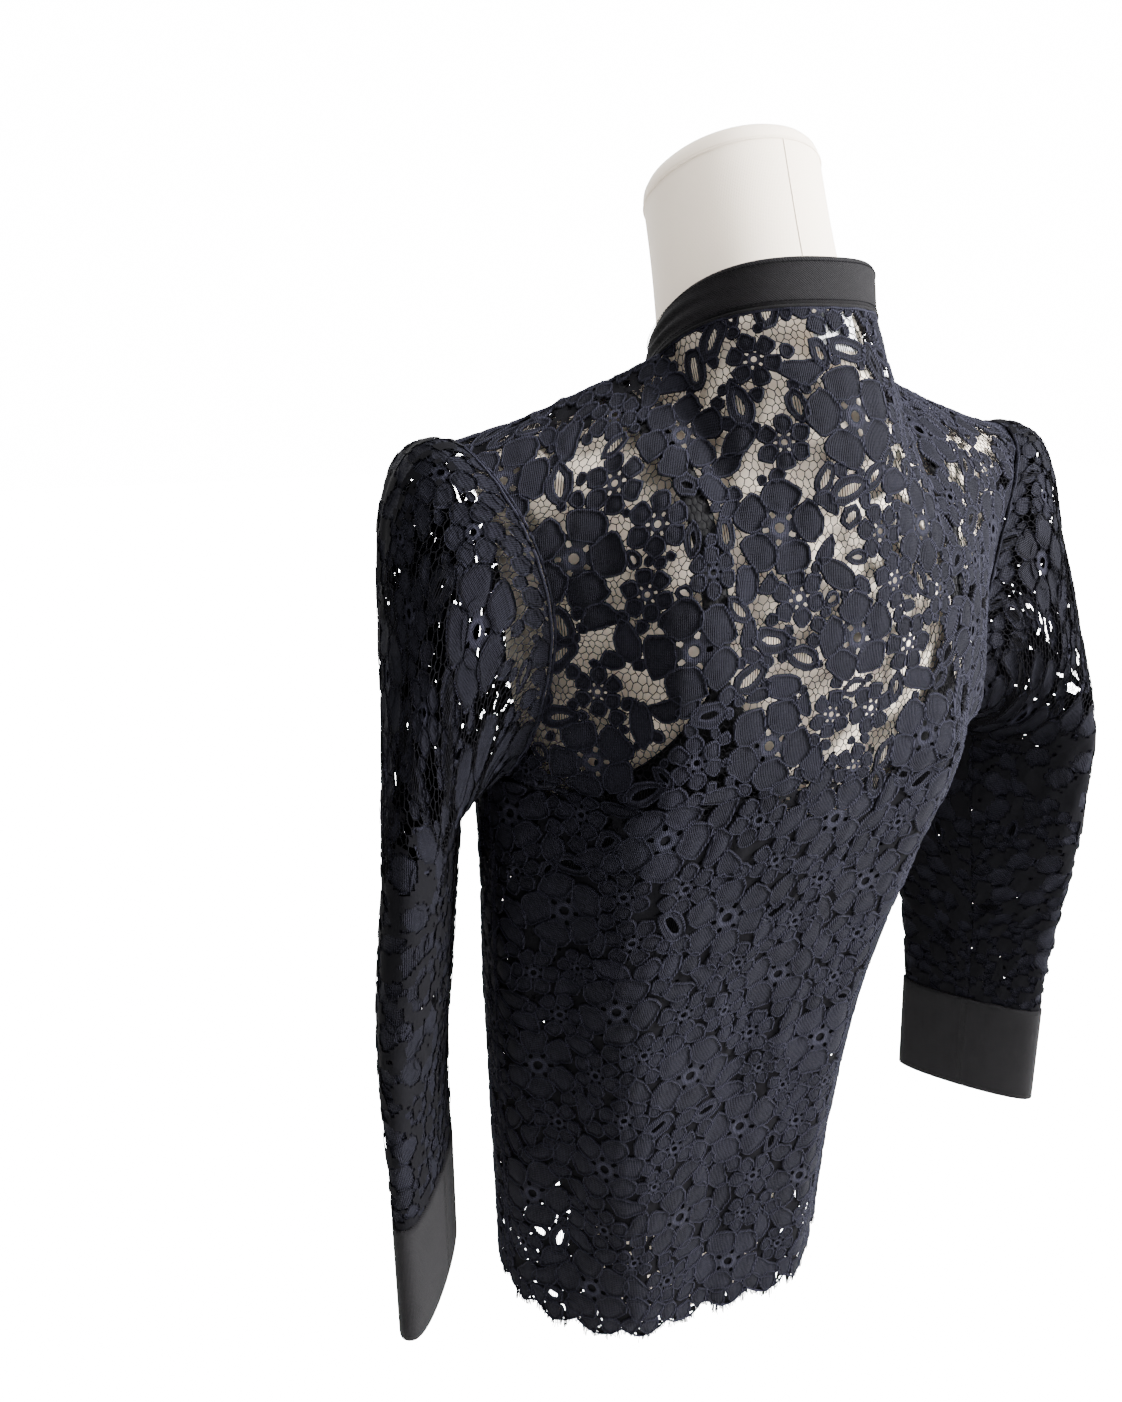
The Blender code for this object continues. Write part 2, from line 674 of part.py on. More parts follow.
def build_sleeve(hand):
    """A sleeve in a back and a front half, and its cuff."""
    word = "left" if hand > 0 else "right"
    grid = sleeve_grid(hand)
    wrapped = np.concatenate([grid, grid[:, :1]], axis=1)
    padded = np.concatenate([grid[:, -1:], wrapped, grid[:, 1:2]], axis=1)
    normals = grid_normals(padded, hand)[:, 1:-1]
    half = SLEEVE_COLUMNS // 2
    inner = wrapped - normals * LACE_WALL
    for part, columns in (("back", slice(0, half + 1)), ("front", slice(half, None))):
        outer_half = pulled_back(wrapped[:, columns], SEAM_GAP / 2, first_row=False)
        inner_half = pulled_back(inner[:, columns], SEAM_GAP / 2, first_row=False)
        across, up = flat_places(outer_half)
        points, faces = WallBuilder(outer_half, inner_half).build(gap_cells(across, up))
        add_object(f"sleeve_{word}_{part}", points, faces, "lace", hand)
    top = SLEEVE_RINGS[-1]
    rings = []
    for u in np.linspace(0, 1, CUFF_ROWS + 1):
        sizes = [
            getattr(top, field) * (1 - u) + getattr(CUFF_BOTTOM, field) * u
            for field in ("centre_x", "centre_y", "half_width", "half_thickness", "turn")
        ]
        height = (top.height - SEAM_GAP) * (1 - u) + CUFF_BOTTOM.height * u
        rings.append(flat_ring(sizes, height, SLEEVE_COLUMNS))
    cuff = np.array(rings) * (hand, 1, 1)
    closed = np.concatenate([cuff[:, -1:], cuff, cuff[:, :1]], axis=1)
    inner = cuff - grid_normals(closed, hand)[:, 1:-1] * BAND_WALL
    points, faces = WallBuilder(cuff, inner, wrap=True).build()
    add_object(f"cuff_{word}", points, faces, "twill", hand)


def neck_ring(height_above, inset):
    """The neckline as a closed ring from the centre front round by the left side, raised and drawn in."""
    back = top_edge(LACE_YOKE, 1, PANEL_COLUMNS, NECK_COLUMNS)
    front = top_edge(LACE_YOKE, -1, PANEL_COLUMNS, NECK_COLUMNS)
    first = (PANEL_COLUMNS - NECK_COLUMNS) // 2
    last = first + NECK_COLUMNS
    middle = (first + last) // 2
    left_front = front[middle:last]
    round_back = back[first : last + 1][::-1]
    right_front = front[first + 1 : middle + 1]
    ring = even_steps(np.concatenate([left_front, round_back, right_front]), COLLAR_COLUMNS)
    outward = ring * (1, 1, 0)
    outward /= np.linalg.norm(outward, axis=1, keepdims=True)
    return ring - outward * inset + np.array((0, 0, height_above))


def build_collar():
    """The stand collar, whose ends meet at the centre front."""
    lift = SEAM_GAP + 0.0002
    rows = [
        neck_ring(lift + COLLAR_HEIGHT * u, COLLAR_LEAN * u) for u in np.linspace(0, 1, 4)
    ]
    grid = pulled_back(np.array(rows), SEAM_GAP * 2, first_row=False, last_row=False)
    wall_object("collar", grid, BAND_WALL, 1, "twill")
    bpy.ops.mesh.primitive_cylinder_add(
        vertices=20,
        radius=BUTTON_RADIUS,
        depth=BUTTON_THICKNESS,
        rotation=(math.radians(90), 0, 0),
        location=(0, 0, 0),
    )
    button = bpy.context.active_object
    front = rows[1][0]
    reach = BUTTON_THICKNESS / 2 + SEAM_GAP * 2
    button.location = (0, front[1] - reach, front[2] + COLLAR_HEIGHT * 0.2)
    button.name = "collar_button"
    button.data.materials.append(finish_material("button"))
    button.data.shade_smooth()
    button.data.set_sharp_from_angle(angle=math.radians(40))


def form_surface(side, columns, neck_columns):
    """Outer points of one side of the form, from its base to the shoulder and the neck."""
    heights = np.concatenate(
        [
            np.linspace(0, UNDERARM_HEIGHT, FORM_ROWS + 1),
            np.linspace(UNDERARM_HEIGHT, CHEST_HEIGHT, FORM_CHEST_ROWS + 1)[1:],
        ]
    )
    return body_grid(FORM_SECTIONS, FORM_YOKE, side, columns, neck_columns, heights, FORM_YOKE_ROWS)


def neck_section(u, ring):
    """A ring of the neck, at a share of its length above the neckline."""
    centre = np.array((0.0, 0.0, FORM_YOKE.neck_height))
    sway = NECK_LENGTH * u
    middle = centre + np.array((0, -math.sin(NECK_LEAN) * sway, math.cos(NECK_LEAN) * sway))
    points = []
    for k, place in enumerate(ring):
        angle = math.atan2(place[1], place[0])
        tilt = CAP_TILT * u
        round_x = NECK_TOP_RADIUS * math.cos(angle)
        round_y = NECK_TOP_RADIUS * math.sin(angle)
        top = middle + np.array((round_x, round_y * math.cos(tilt), round_y * math.sin(tilt)))
        blend = 1 - (1 - u) ** 2.2
        low = place + np.array((0, -math.sin(NECK_LEAN) * sway, math.cos(NECK_LEAN) * sway))
        points.append(low * (1 - blend) + top * blend)
    return points


def build_form():
    """The dress form: torso with closed armholes and neck, and the cap on the neck."""
    columns, neck_columns = FORM_COLUMNS, FORM_NECK_COLUMNS
    back = form_surface(1, columns, neck_columns)
    front = form_surface(-1, columns, neck_columns)
    first = (columns - neck_columns) // 2
    last = first + neck_columns
    rows = len(back)
    points, numbers = [], {}

    def number(side, i, j):
        shared = j in (0, columns) and i <= FORM_ROWS
        shoulder = i == rows - 1 and (j <= first or j >= last)
        key = ("both" if shared or shoulder else side, i, j)
        if key not in numbers:
            numbers[key] = len(points)
            points.append((back if side == "back" else front)[i, j])
        return numbers[key]

    faces = []
    for i in range(rows - 1):
        for j in range(columns):
            cell = [("back", i, j), ("back", i, j + 1), ("back", i + 1, j + 1), ("back", i + 1, j)]
            faces.append([number(*corner) for corner in cell][::-1])
            cell = [("front", i, j), ("front", i, j + 1), ("front", i + 1, j + 1), ("front", i + 1, j)]
            faces.append([number(*corner) for corner in cell])
        if i >= FORM_ROWS:
            for j, turn in ((0, 1), (columns, -1)):
                plate = [number("back", i, j), number("front", i, j), number("front", i + 1, j)]
                plate.append(number("back", i + 1, j))
                plate = [p for k, p in enumerate(plate) if p not in plate[:k]]
                if len(plate) > 2:
                    faces.append(plate[::turn])
    base = [number("front", 0, j) for j in range(columns + 1)]
    base += [number("back", 0, j) for j in range(columns - 1, 0, -1)]
    faces.append(base[::-1])
    ring = [number("front", rows - 1, j) for j in range(first, last + 1)]
    ring += [number("back", rows - 1, j) for j in range(last - 1, first, -1)]
    ring_places = [points[k] for k in ring]
    below = ring
    for i in range(1, NECK_ROWS + 1):
        places = neck_section(i / NECK_ROWS, ring_places)
        above = list(range(len(points), len(points) + len(places)))
        points.extend(places)
        for k in range(len(ring)):
            after = (k + 1) % len(ring)
            faces.append([below[k], below[after], above[after], above[k]])
        below = above
    faces.append(below)
    add_object("form_body", [tuple(map(float, p)) for p in points], faces, "jersey")

    top = np.array(neck_section(1.0, ring_places))
    middle = top.mean(axis=0)
    axis = np.array((0, -math.sin(CAP_TILT), math.cos(CAP_TILT)))
    cap_points = [tuple(p + axis * SEAM_GAP) for p in top]
    cap_faces = [list(range(len(top)))[::-1]]
    below = list(range(len(top)))
    for share, rise in CAP_PROFILE:
        above = list(range(len(cap_points), len(cap_points) + len(top)))
        lifted = middle + (top - middle) * share + axis * (SEAM_GAP + CAP_HEIGHT * rise)
        cap_points.extend(tuple(p) for p in lifted)
        for k in range(len(top)):
            after = (k + 1) % len(top)
            cap_faces.append([below[k], below[after], above[after], above[k]])
        below = above
    cap_faces.append(below)
    add_object("form_neck_cap", [tuple(map(float, p)) for p in cap_points], cap_faces, "jersey")


def lining_top(across):
    """Height of the lining's upper edge: low at the centre, high at the straps, lower at the sides."""
    away = abs(across)
    if away < STRAP_ACROSS:
        u = away / STRAP_ACROSS
        return LINING_VERTEX + (LINING_STRAP_POINT - LINING_VERTEX) * u**1.15
    u = (away - STRAP_ACROSS) / (1 - STRAP_ACROSS)
    return LINING_STRAP_POINT + (LINING_SIDE - LINING_STRAP_POINT) * u**0.6


def build_lining():
    """The camisole lining, a skin just outside the form."""
    columns = FORM_COLUMNS
    rows = LINING_ROWS
    sides = []
    for side in (1, -1):
        skin = form_surface(side, columns, FORM_NECK_COLUMNS)
        skin = skin + grid_normals(skin, side_turn(side)) * (LINING_CLEARANCE + LINING_WALL)
        grid = np.zeros((rows + 1, columns + 1, 3))
        for j in range(columns + 1):
            wanted = np.linspace(LINING_BOTTOM, lining_top(2 * j / columns - 1), rows + 1)
            for axis in range(3):
                grid[:, j, axis] = np.interp(wanted, skin[:, j, 2], skin[:, j, axis])
        sides.append(grid)
    ring = np.concatenate([sides[1], sides[0][:, 1:-1][:, ::-1]], axis=1)
    closed = np.concatenate([ring[:, -1:], ring, ring[:, :1]], axis=1)
    inner = ring - grid_normals(closed, 1)[:, 1:-1] * LINING_WALL
    points, faces = WallBuilder(ring, inner, wrap=True).build()
    add_object("lining", points, faces, "lining", 1)


def layer_under(surface, normals, rows, columns, depth):
    """A grid of places under a panel, at fractional rows and at columns given for each row."""
    return np.array(
        [
            [place_on(surface, i, j) - place_on(normals, i, j) * depth for j in columns_at]
            for i, columns_at in zip(rows, columns)
        ]
    )


def build_straps():
    """The lining's straps, over the shoulders between the form and the lace."""
    first_row = ROWS_TO_UNDERARM + ROWS_TO_CHEST
    rows = range(first_row, first_row + ROWS_TO_SHOULDER + 1)
    for hand, word in ((1, "left"), (-1, "right")):
        layers = []
        for depth in (LACE_WALL + STRAP_CLEARANCE, LACE_WALL + STRAP_CLEARANCE + STRAP_WALL):
            halves = []
            for side in (1, -1):
                surface = lace_surface(side)
                normals = panel_normals(surface, side)
                columns = []
                for k, i in enumerate(rows):
                    across = STRAP_ACROSS + (STRAP_ACROSS_SHOULDER - STRAP_ACROSS) * k / (len(rows) - 1)
                    middle = (1 + hand * across) / 2 * PANEL_COLUMNS
                    row = surface[i]
                    spacing = np.linalg.norm(row[int(middle) + 1] - row[int(middle)])
                    reach = STRAP_WIDTH / spacing / 2
                    columns.append([middle - reach, middle, middle + reach])
                halves.append(layer_under(surface, normals, rows, columns, depth))
            layers.append(np.concatenate([halves[0], halves[1][::-1][1:]]))
        points, faces = WallBuilder(*layers).build()
        add_object(f"strap_{word}", points, faces, "lining", -1)


def build_label():
    """The blank label inside the back of the neck."""
    surface = lace_surface(1)
    normals = panel_normals(surface, 1)
    last = len(surface) - 1
    middle = PANEL_COLUMNS / 2
    row_height = np.linalg.norm(surface[-1, int(middle)] - surface[-2, int(middle)])
    column_width = np.linalg.norm(surface[-1, int(middle) + 1] - surface[-1, int(middle)])
    rows = np.linspace(last - (LABEL_HEIGHT + LABEL_DROP) / row_height, last - LABEL_DROP / row_height, 4)
    reach = LABEL_WIDTH / column_width / 2
    columns = [np.linspace(middle - reach, middle + reach, 5)] * len(rows)
    outer = layer_under(surface, normals, rows, columns, LACE_WALL + LABEL_CLEARANCE)
    inner = layer_under(surface, normals, rows, columns, LACE_WALL + LABEL_CLEARANCE + LABEL_WALL)
    points, faces = WallBuilder(outer, inner).build()
    add_object("label", points, faces, "label", -1)


def main():
    """Build the form and the blouse on it."""
    clear_scene()
    build_form()
    build_lining()
    build_straps()
    for side in (1, -1):
        build_panel(side)
    for hand in (1, -1):
        build_sleeve(hand)
    build_collar()
    build_label()


main()
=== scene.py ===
"""Looks of the corded lace blouse on its limbless dress form.

Metres, +Z up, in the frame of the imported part. The figure faces -Y and +X is its left side. The worn cloth
follows the part's own section tables on a finer grid. The lace is laid out flat, motif by motif, and is then
carried onto that grid.
"""

import logging
import math
from collections.abc import Sequence
from dataclasses import dataclass, field
from enum import Enum

import bpy
import numpy as np
from mathutils import Matrix, Vector


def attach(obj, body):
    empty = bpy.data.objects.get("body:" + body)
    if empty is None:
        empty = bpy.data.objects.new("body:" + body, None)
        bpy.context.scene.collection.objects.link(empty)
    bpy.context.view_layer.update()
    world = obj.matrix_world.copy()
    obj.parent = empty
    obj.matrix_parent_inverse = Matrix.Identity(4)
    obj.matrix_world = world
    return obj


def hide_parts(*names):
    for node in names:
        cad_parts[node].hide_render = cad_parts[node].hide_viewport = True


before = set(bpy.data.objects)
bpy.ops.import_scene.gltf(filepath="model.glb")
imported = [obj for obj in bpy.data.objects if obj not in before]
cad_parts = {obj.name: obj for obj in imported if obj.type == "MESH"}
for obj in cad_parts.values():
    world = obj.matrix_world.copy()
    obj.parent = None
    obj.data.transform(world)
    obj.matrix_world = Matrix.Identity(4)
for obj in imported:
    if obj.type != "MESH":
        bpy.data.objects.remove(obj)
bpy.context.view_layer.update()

LOG = logging.getLogger("lace_top")
BODY = "root"
MM = 0.001

# What the meshes carry for the shaders: flat places, how much of a cord a point is, and a motif's tone. The
# lace's shader paints a highlight where the cord number is high and shade where it is low
CLOTH_MAP = "cloth"
CORD = "cord"
TONE = "tone"

# The blouse's heights and its walls
HEM_HEIGHT = 0.034
UNDERARM_HEIGHT = 0.430
CHEST_HEIGHT = 0.505
SEAM_GAP = 0.0003
LACE_WALL = 0.0015
BAND_WALL = 0.0024
LINING_WALL = 0.0012
SHOULDER_SAG = 0.004

# How much finer the grids are than the part's own
FINER = 4
PANEL_COLUMNS = 18 * FINER
NECK_COLUMNS = 8 * FINER
ROWS_TO_UNDERARM = 17 * FINER
ROWS_TO_CHEST = 3 * FINER
ROWS_TO_SHOULDER = 7 * FINER

ROUNDNESS = 2.2
EDGE_TURN_AT_SEAM = math.radians(90)
EDGE_TURN_AT_NOTCH = math.radians(58)


class Side(Enum):
    """The two sides of the body, as the sign of Y."""

    BACK = 1
    FRONT = -1


class Hand(Enum):
    """The figure's left and right, as the sign of X."""

    LEFT = 1
    RIGHT = -1

    @property
    def word(self) -> str:
        """Its name in the names of pieces and nodes."""
        return self.name.lower()


@dataclass(frozen=True)
class Section:
    """A level section of the body, measured from the side seam's plane."""

    height: float
    half_width: float
    back: float
    front: float
    sway_left: float
    sway_back: float


@dataclass(frozen=True)
class Yoke:
    """Armhole notch, shoulder point and neckline."""

    notch_half_width: float
    notch_back: float
    notch_front: float
    shoulder_half_width: float
    shoulder_height: float
    neck_half_width: float
    neck_height: float
    neck_back: float
    neck_back_height: float
    neck_front: float
    neck_front_height: float


@dataclass(frozen=True)
class Fold:
    """A soft fold that runs down a panel."""

    side: Side
    top_across: float
    bottom_across: float
    top: float
    bottom: float
    half_width: float
    depth: float


@dataclass(frozen=True)
class Ring:
    """A flattened ring of a sleeve."""

    height: float
    centre_x: float
    centre_y: float
    half_width: float
    half_thickness: float
    turn: float

    def sizes(self) -> tuple[float, float, float, float, float]:
        """All its values but the height."""
        return (self.centre_x, self.centre_y, self.half_width, self.half_thickness, self.turn)


LACE_SECTIONS = (
    Section(0.034, 0.128, 0.090, 0.094, 0.032, -0.026),
    Section(0.130, 0.134, 0.091, 0.096, 0.030, -0.023),
    Section(0.270, 0.148, 0.094, 0.104, 0.024, -0.013),
    Section(0.360, 0.161, 0.102, 0.116, 0.014, -0.005),
    Section(0.430, 0.173, 0.111, 0.126, 0.005, 0.000),
    Section(0.505, 0.168, 0.111, 0.120, 0.000, 0.000),
)
FORM_SECTIONS = (
    Section(0.000, 0.082, 0.050, 0.056, 0.020, -0.022),
    Section(0.110, 0.088, 0.056, 0.062, 0.018, -0.020),
    Section(0.270, 0.090, 0.066, 0.068, 0.010, -0.008),
    Section(0.350, 0.112, 0.082, 0.090, 0.004, -0.002),
    Section(0.430, 0.140, 0.097, 0.110, 0.000, 0.000),
    Section(0.500, 0.150, 0.101, 0.110, 0.000, 0.000),
)
LACE_YOKE = Yoke(0.160, 0.046, 0.052, 0.196, 0.622, 0.068, 0.668, 0.066, 0.692, 0.070, 0.640)
FORM_YOKE = Yoke(0.146, 0.040, 0.046, 0.184, 0.6225, 0.060, 0.660, 0.056, 0.684, 0.051, 0.630)
FOLDS = (
    Fold(Side.BACK, 0.62, 0.42, 0.66, 0.05, 0.16, 0.010),
    Fold(Side.BACK, 0.78, 0.70, 0.52, 0.10, 0.12, -0.009),
    Fold(Side.BACK, 0.05, 0.12, 0.36, 0.03, 0.10, -0.004),
    Fold(Side.BACK, -0.38, -0.30, 0.50, 0.03, 0.12, 0.007),
    Fold(Side.BACK, -0.68, -0.62, 0.50, 0.06, 0.12, -0.008),
    Fold(Side.FRONT, 0.55, 0.50, 0.48, 0.03, 0.14, 0.008),
    Fold(Side.FRONT, 0.10, 0.18, 0.40, 0.03, 0.12, -0.005),
    Fold(Side.FRONT, -0.48, -0.55, 0.48, 0.03, 0.14, 0.008),
)
SLEEVE_RINGS = (
    Ring(0.398, 0.220, 0.000, 0.078, 0.018, math.radians(28)),
    Ring(0.310, 0.228, 0.002, 0.070, 0.017, math.radians(30)),
    Ring(0.245, 0.232, 0.006, 0.058, 0.012, math.radians(33)),
    Ring(0.178, 0.232, 0.010, 0.051, 0.010, math.radians(34)),
)
CUFF_BOTTOM = Ring(0.100, 0.232, 0.013, 0.050, 0.010, math.radians(34))
SLEEVE_COLUMNS = 16 * FINER
SLEEVE_HEAD_ROWS = 7 * FINER
SLEEVE_ARM_ROWS = 12 * FINER
SLEEVE_PUFF = 0.046
GATHERS = 9
GATHER_DEPTH = 0.0022


# Surface maths


def smooth_table(heights: Sequence[float], values: Sequence[float], height: float) -> float:
    """Read a table along a smooth curve.

    Args:
        heights: The rows' heights, rising.
        values: The rows' values.
        height: Where to read.

    Returns:
        The value at that height.
    """
    rows = np.asarray(heights, float)
    column = np.asarray(values, float)
    slopes = np.gradient(column, rows)
    height = float(np.clip(height, rows[0], rows[-1]))
    i = int(np.clip(np.searchsorted(rows, height) - 1, 0, len(rows) - 2))
    span = rows[i + 1] - rows[i]
    u = (height - rows[i]) / span
    return float(
        (2 * u**3 - 3 * u**2 + 1) * column[i]
        + (u**3 - 2 * u**2 + u) * span * slopes[i]
        + (3 * u**2 - 2 * u**3) * column[i + 1]
        + (u**3 - u**2) * span * slopes[i + 1]
    )


def signed_power(value: float, power: float) -> float:
    """Power of the size of a number, with its sign kept."""
    return math.copysign(abs(value) ** power, value)


def even_steps(points: np.ndarray, count: int) -> np.ndarray:
    """The points of a polyline at even steps of its length.

    Args:
        points: The polyline, one row a point.
        count: The number of steps.

    Returns:
        count + 1 points.
    """
    points = np.asarray(points, float)
    lengths = np.concatenate([[0.0], np.cumsum(np.linalg.norm(np.diff(points, axis=0), axis=1))])
    wanted = np.linspace(0.0, lengths[-1], count + 1)
    return np.stack([np.interp(wanted, lengths, points[:, k]) for k in range(3)], axis=1)


def arc_row(
    half_width: float, edge_depth: float, mid_depth: float, turn: float, height: float, count: int
) -> np.ndarray:
    """One row across a panel from the right edge to the left edge, at even steps.

    Args:
        half_width: Half the row's width.
        edge_depth: Depth at both edges.
        mid_depth: Depth at the middle.
        turn: Half the angle that the row turns through.
        height: The row's height.
        count: The number of steps.

    Returns:
        The row's points.
    """
    across = []
    end = math.cos(turn) ** (2 / ROUNDNESS) if math.cos(turn) > 1e-9 else 0.0
    for phi in np.linspace(-turn, turn, 121):
        x = signed_power(math.sin(phi), 2 / ROUNDNESS) / math.sin(turn) ** (2 / ROUNDNESS)
        y = (math.cos(phi) ** (2 / ROUNDNESS) if math.cos(phi) > 1e-9 else 0.0) - end
        across.append((half_width * x, edge_depth + (mid_depth - edge_depth) * y / (1 - end), height))
    return even_steps(np.array(across), count)


def bezier(p0: np.ndarray, p1: np.ndarray, p2: np.ndarray, p3: np.ndarray, u: float) -> np.ndarray:
    """Point of a cubic curve."""
    return (1 - u) ** 3 * p0 + 3 * (1 - u) ** 2 * u * p1 + 3 * (1 - u) * u**2 * p2 + u**3 * p3


@dataclass(frozen=True)
class Body:
    """The outer surface of the lace body or of the form: its tables and its grid."""

    sections: tuple[Section, ...]
    yoke: Yoke
    bottom: float
    columns: int
    neck_columns: int
    rows_to_underarm: int
    rows_to_chest: int
    rows_to_shoulder: int

    def row(self, side: Side, height: float) -> np.ndarray:
        """A level row, up to the chest.

        Args:
            side: Back or front.
            height: The row's height.

        Returns:
            The row's points.
        """
        sections, yoke = self.sections, self.yoke
        heights = [s.height for s in sections]
        depths = [s.back if side is Side.BACK else s.front for s in sections]
        half_width = smooth_table(heights, [s.half_width for s in sections], height)
        notch = yoke.notch_back if side is Side.BACK else yoke.notch_front
        rise = min(max((height - UNDERARM_HEIGHT) / (CHEST_HEIGHT - UNDERARM_HEIGHT), 0.0), 1.0)
        edge = notch * math.sqrt(1 - (1 - rise) ** 2)
        half_width += (yoke.notch_half_width - half_width) * rise
        turn = EDGE_TURN_AT_SEAM + (EDGE_TURN_AT_NOTCH - EDGE_TURN_AT_SEAM) * rise
        depth = smooth_table(heights, depths, height)
        row = arc_row(half_width, edge, depth, turn, height, self.columns)
        sway_left = smooth_table(heights, [s.sway_left for s in sections], height)
        sway_back = smooth_table(heights, [s.sway_back for s in sections], height)
        return row * (1, side.value, 1) + (sway_left, sway_back, 0)

    def top_edge(self, side: Side) -> np.ndarray:
        """A panel's upper edge: right shoulder seam, neckline and left shoulder seam.

        Args:
            side: Back or front.

        Returns:
            One point more than there are columns.
        """
        yoke, count = self.yoke, self.columns
        depth = yoke.neck_back if side is Side.BACK else yoke.neck_front
        middle_height = yoke.neck_back_height if side is Side.BACK else yoke.neck_front_height
        shoulder_count = (count - self.neck_columns) // 2
        points = []
        for k in range(count + 1):
            if k < shoulder_count or k > count - shoulder_count:
                sign = -1 if k < shoulder_count else 1
                u = min(k, count - k) / shoulder_count
                x = yoke.shoulder_half_width + (yoke.neck_half_width - yoke.shoulder_half_width) * u
                z = yoke.shoulder_height + (yoke.neck_height - yoke.shoulder_height) * u
                points.append((sign * x, 0.0, z - SHOULDER_SAG * math.sin(math.pi * u)))
            else:
                phi = math.pi * (k - shoulder_count) / self.neck_columns
                drop = (1 - math.sin(phi)) ** 1.5
                z = middle_height + (yoke.neck_height - middle_height) * drop
                y = side.value * depth * math.sin(phi)
                points.append((-yoke.neck_half_width * math.cos(phi), y, z))
        return np.array(points)

    def yoke_rows(self, side: Side) -> np.ndarray:
        """Rows from the chest over the shoulder blade to the shoulder seam and the neckline.

        Args:
            side: Back or front.

        Returns:
            The rows' points.
        """
        step = 0.01
        chest = self.row(side, CHEST_HEIGHT)
        rising = (chest - self.row(side, CHEST_HEIGHT - step)) / step
        top = self.top_edge(side)
        half_neck = self.neck_columns / self.columns
        away = np.abs(2 * np.arange(self.columns + 1) / self.columns - 1)
        flat = np.clip((away - half_neck * 0.6) / (1 - half_neck * 0.6), 0.0, 1.0)[:, None] ** 0.6
        reach = np.linalg.norm(top - chest, axis=1)[:, None]
        leave = np.concatenate([0 * flat, -side.value * (0.45 + 0.55 * flat), 0.9 * (1 - flat)], axis=1)
        leave /= np.linalg.norm(leave, axis=1, keepdims=True)
        first = chest + rising * reach * 0.42
        second = top - leave * reach * (0.30 + 0.06 * flat)
        shares = np.linspace(0, 1, self.rows_to_shoulder + 1)[1:]
        return np.array([bezier(chest, first, second, top, u) for u in shares])

    def surface(self, side: Side) -> np.ndarray:
        """Rows of a panel from its bottom to the shoulder seam and the neckline.

        Args:
            side: Back or front.

        Returns:
            The rows' points.
        """
        lower = np.linspace(self.bottom, UNDERARM_HEIGHT, self.rows_to_underarm + 1)
        upper = np.linspace(UNDERARM_HEIGHT, CHEST_HEIGHT, self.rows_to_chest + 1)[1:]
        level = [self.row(side, height) for height in (*lower, *upper)]
        return np.concatenate([level, self.yoke_rows(side)])


LACE_BODY = Body(
    LACE_SECTIONS,
    LACE_YOKE,
    HEM_HEIGHT,
    PANEL_COLUMNS,
    NECK_COLUMNS,
    ROWS_TO_UNDERARM,
    ROWS_TO_CHEST,
    ROWS_TO_SHOULDER,
)
FORM_BODY = Body(
    FORM_SECTIONS, FORM_YOKE, 0.0, 16 * FINER, 8 * FINER, 12 * FINER, 3 * FINER, 6 * FINER
)


def grid_normals(grid: np.ndarray, outwards: int) -> np.ndarray:
    """Unit normals of a grid.

    Args:
        grid: Rows of points.
        outwards: 1 or -1, whichever turns them out of the body.

    Returns:
        A normal for each point.
    """
    up = np.gradient(grid, axis=0)
    across = np.gradient(grid, axis=1)
    normals = np.cross(across, up) * outwards
    return normals / np.maximum(np.linalg.norm(normals, axis=2, keepdims=True), 1e-12)


def sampled(values: np.ndarray, rows: np.ndarray, columns: np.ndarray) -> np.ndarray:
    """Values of a grid at fractional rows and columns.

    Args:
        values: One value or vector for each grid point.
        rows: Fractional rows.
        columns: Fractional columns.

    Returns:
        The values there.
    """
    i = np.clip(np.floor(rows).astype(int), 0, values.shape[0] - 2)
    j = np.clip(np.floor(columns).astype(int), 0, values.shape[1] - 2)
    u, v = rows - i, columns - j
    if values.ndim == 3:
        u, v = u[..., None], v[..., None]
    low = values[i, j] * (1 - v) + values[i, j + 1] * v
    high = values[i + 1, j] * (1 - v) + values[i + 1, j + 1] * v
    return low * (1 - u) + high * u


def lace_surface(side: Side) -> np.ndarray:
    """Outer points of a lace panel with its folds.

    Args:
        side: Back or front.

    Returns:
        Rows of points from the hem up.
    """
    grid = LACE_BODY.surface(side)
    across = np.tile(np.linspace(-1, 1, PANEL_COLUMNS + 1), (len(grid), 1))
    z = grid[:, :, 2]
    offsets = np.zeros(z.shape)
    for fold in FOLDS:
        if fold.side is not side:
            continue
        run = np.clip((z - fold.bottom) / (fold.top - fold.bottom), 0, 1)
        line = fold.bottom_across + (fold.top_across - fold.bottom_across) * run
        fade = np.clip((fold.top - z) / 0.06, 0, 1) * np.clip((z - fold.bottom) / 0.05 + 1, 0, 1)
        offsets += fold.depth * np.exp(-(((across - line) / fold.half_width) ** 2)) * fade
    offsets *= 1 - np.abs(across) ** 6
    return grid + grid_normals(grid, -side.value) * offsets[..., None]


def ring_at(height: float) -> list[float]:
    """Sizes of the sleeve's flattened ring at a height below the upper arm."""
    rings = SLEEVE_RINGS[::-1]
    heights = [ring.height for ring in rings]
    return [smooth_table(heights, list(column), height) for column in zip(*(r.sizes() for r in rings))]


def flat_ring(sizes: Sequence[float], height: float, columns: int) -> np.ndarray:
    """A level flattened ring, from the inner side round by the back to the outer side.

    Args:
        sizes: Centre x and y, half width, half thickness and turn.
        height: The ring's height.
        columns: The number of points.

    Returns:
        The ring's points.
    """
    centre_x, centre_y, half_width, half_thickness, turn = sizes
    points = []
    for k in range(columns):
        phi = 2 * math.pi * k / columns
        along = half_width * math.sin(phi)
        over = -half_thickness * signed_power(math.cos(phi), 0.8)
        x = centre_x + over * math.cos(turn) + along * math.sin(turn)
        y = centre_y - over * math.sin(turn) + along * math.cos(turn)
        points.append((x, y, height))
    return np.array(points)


# Shader graphs


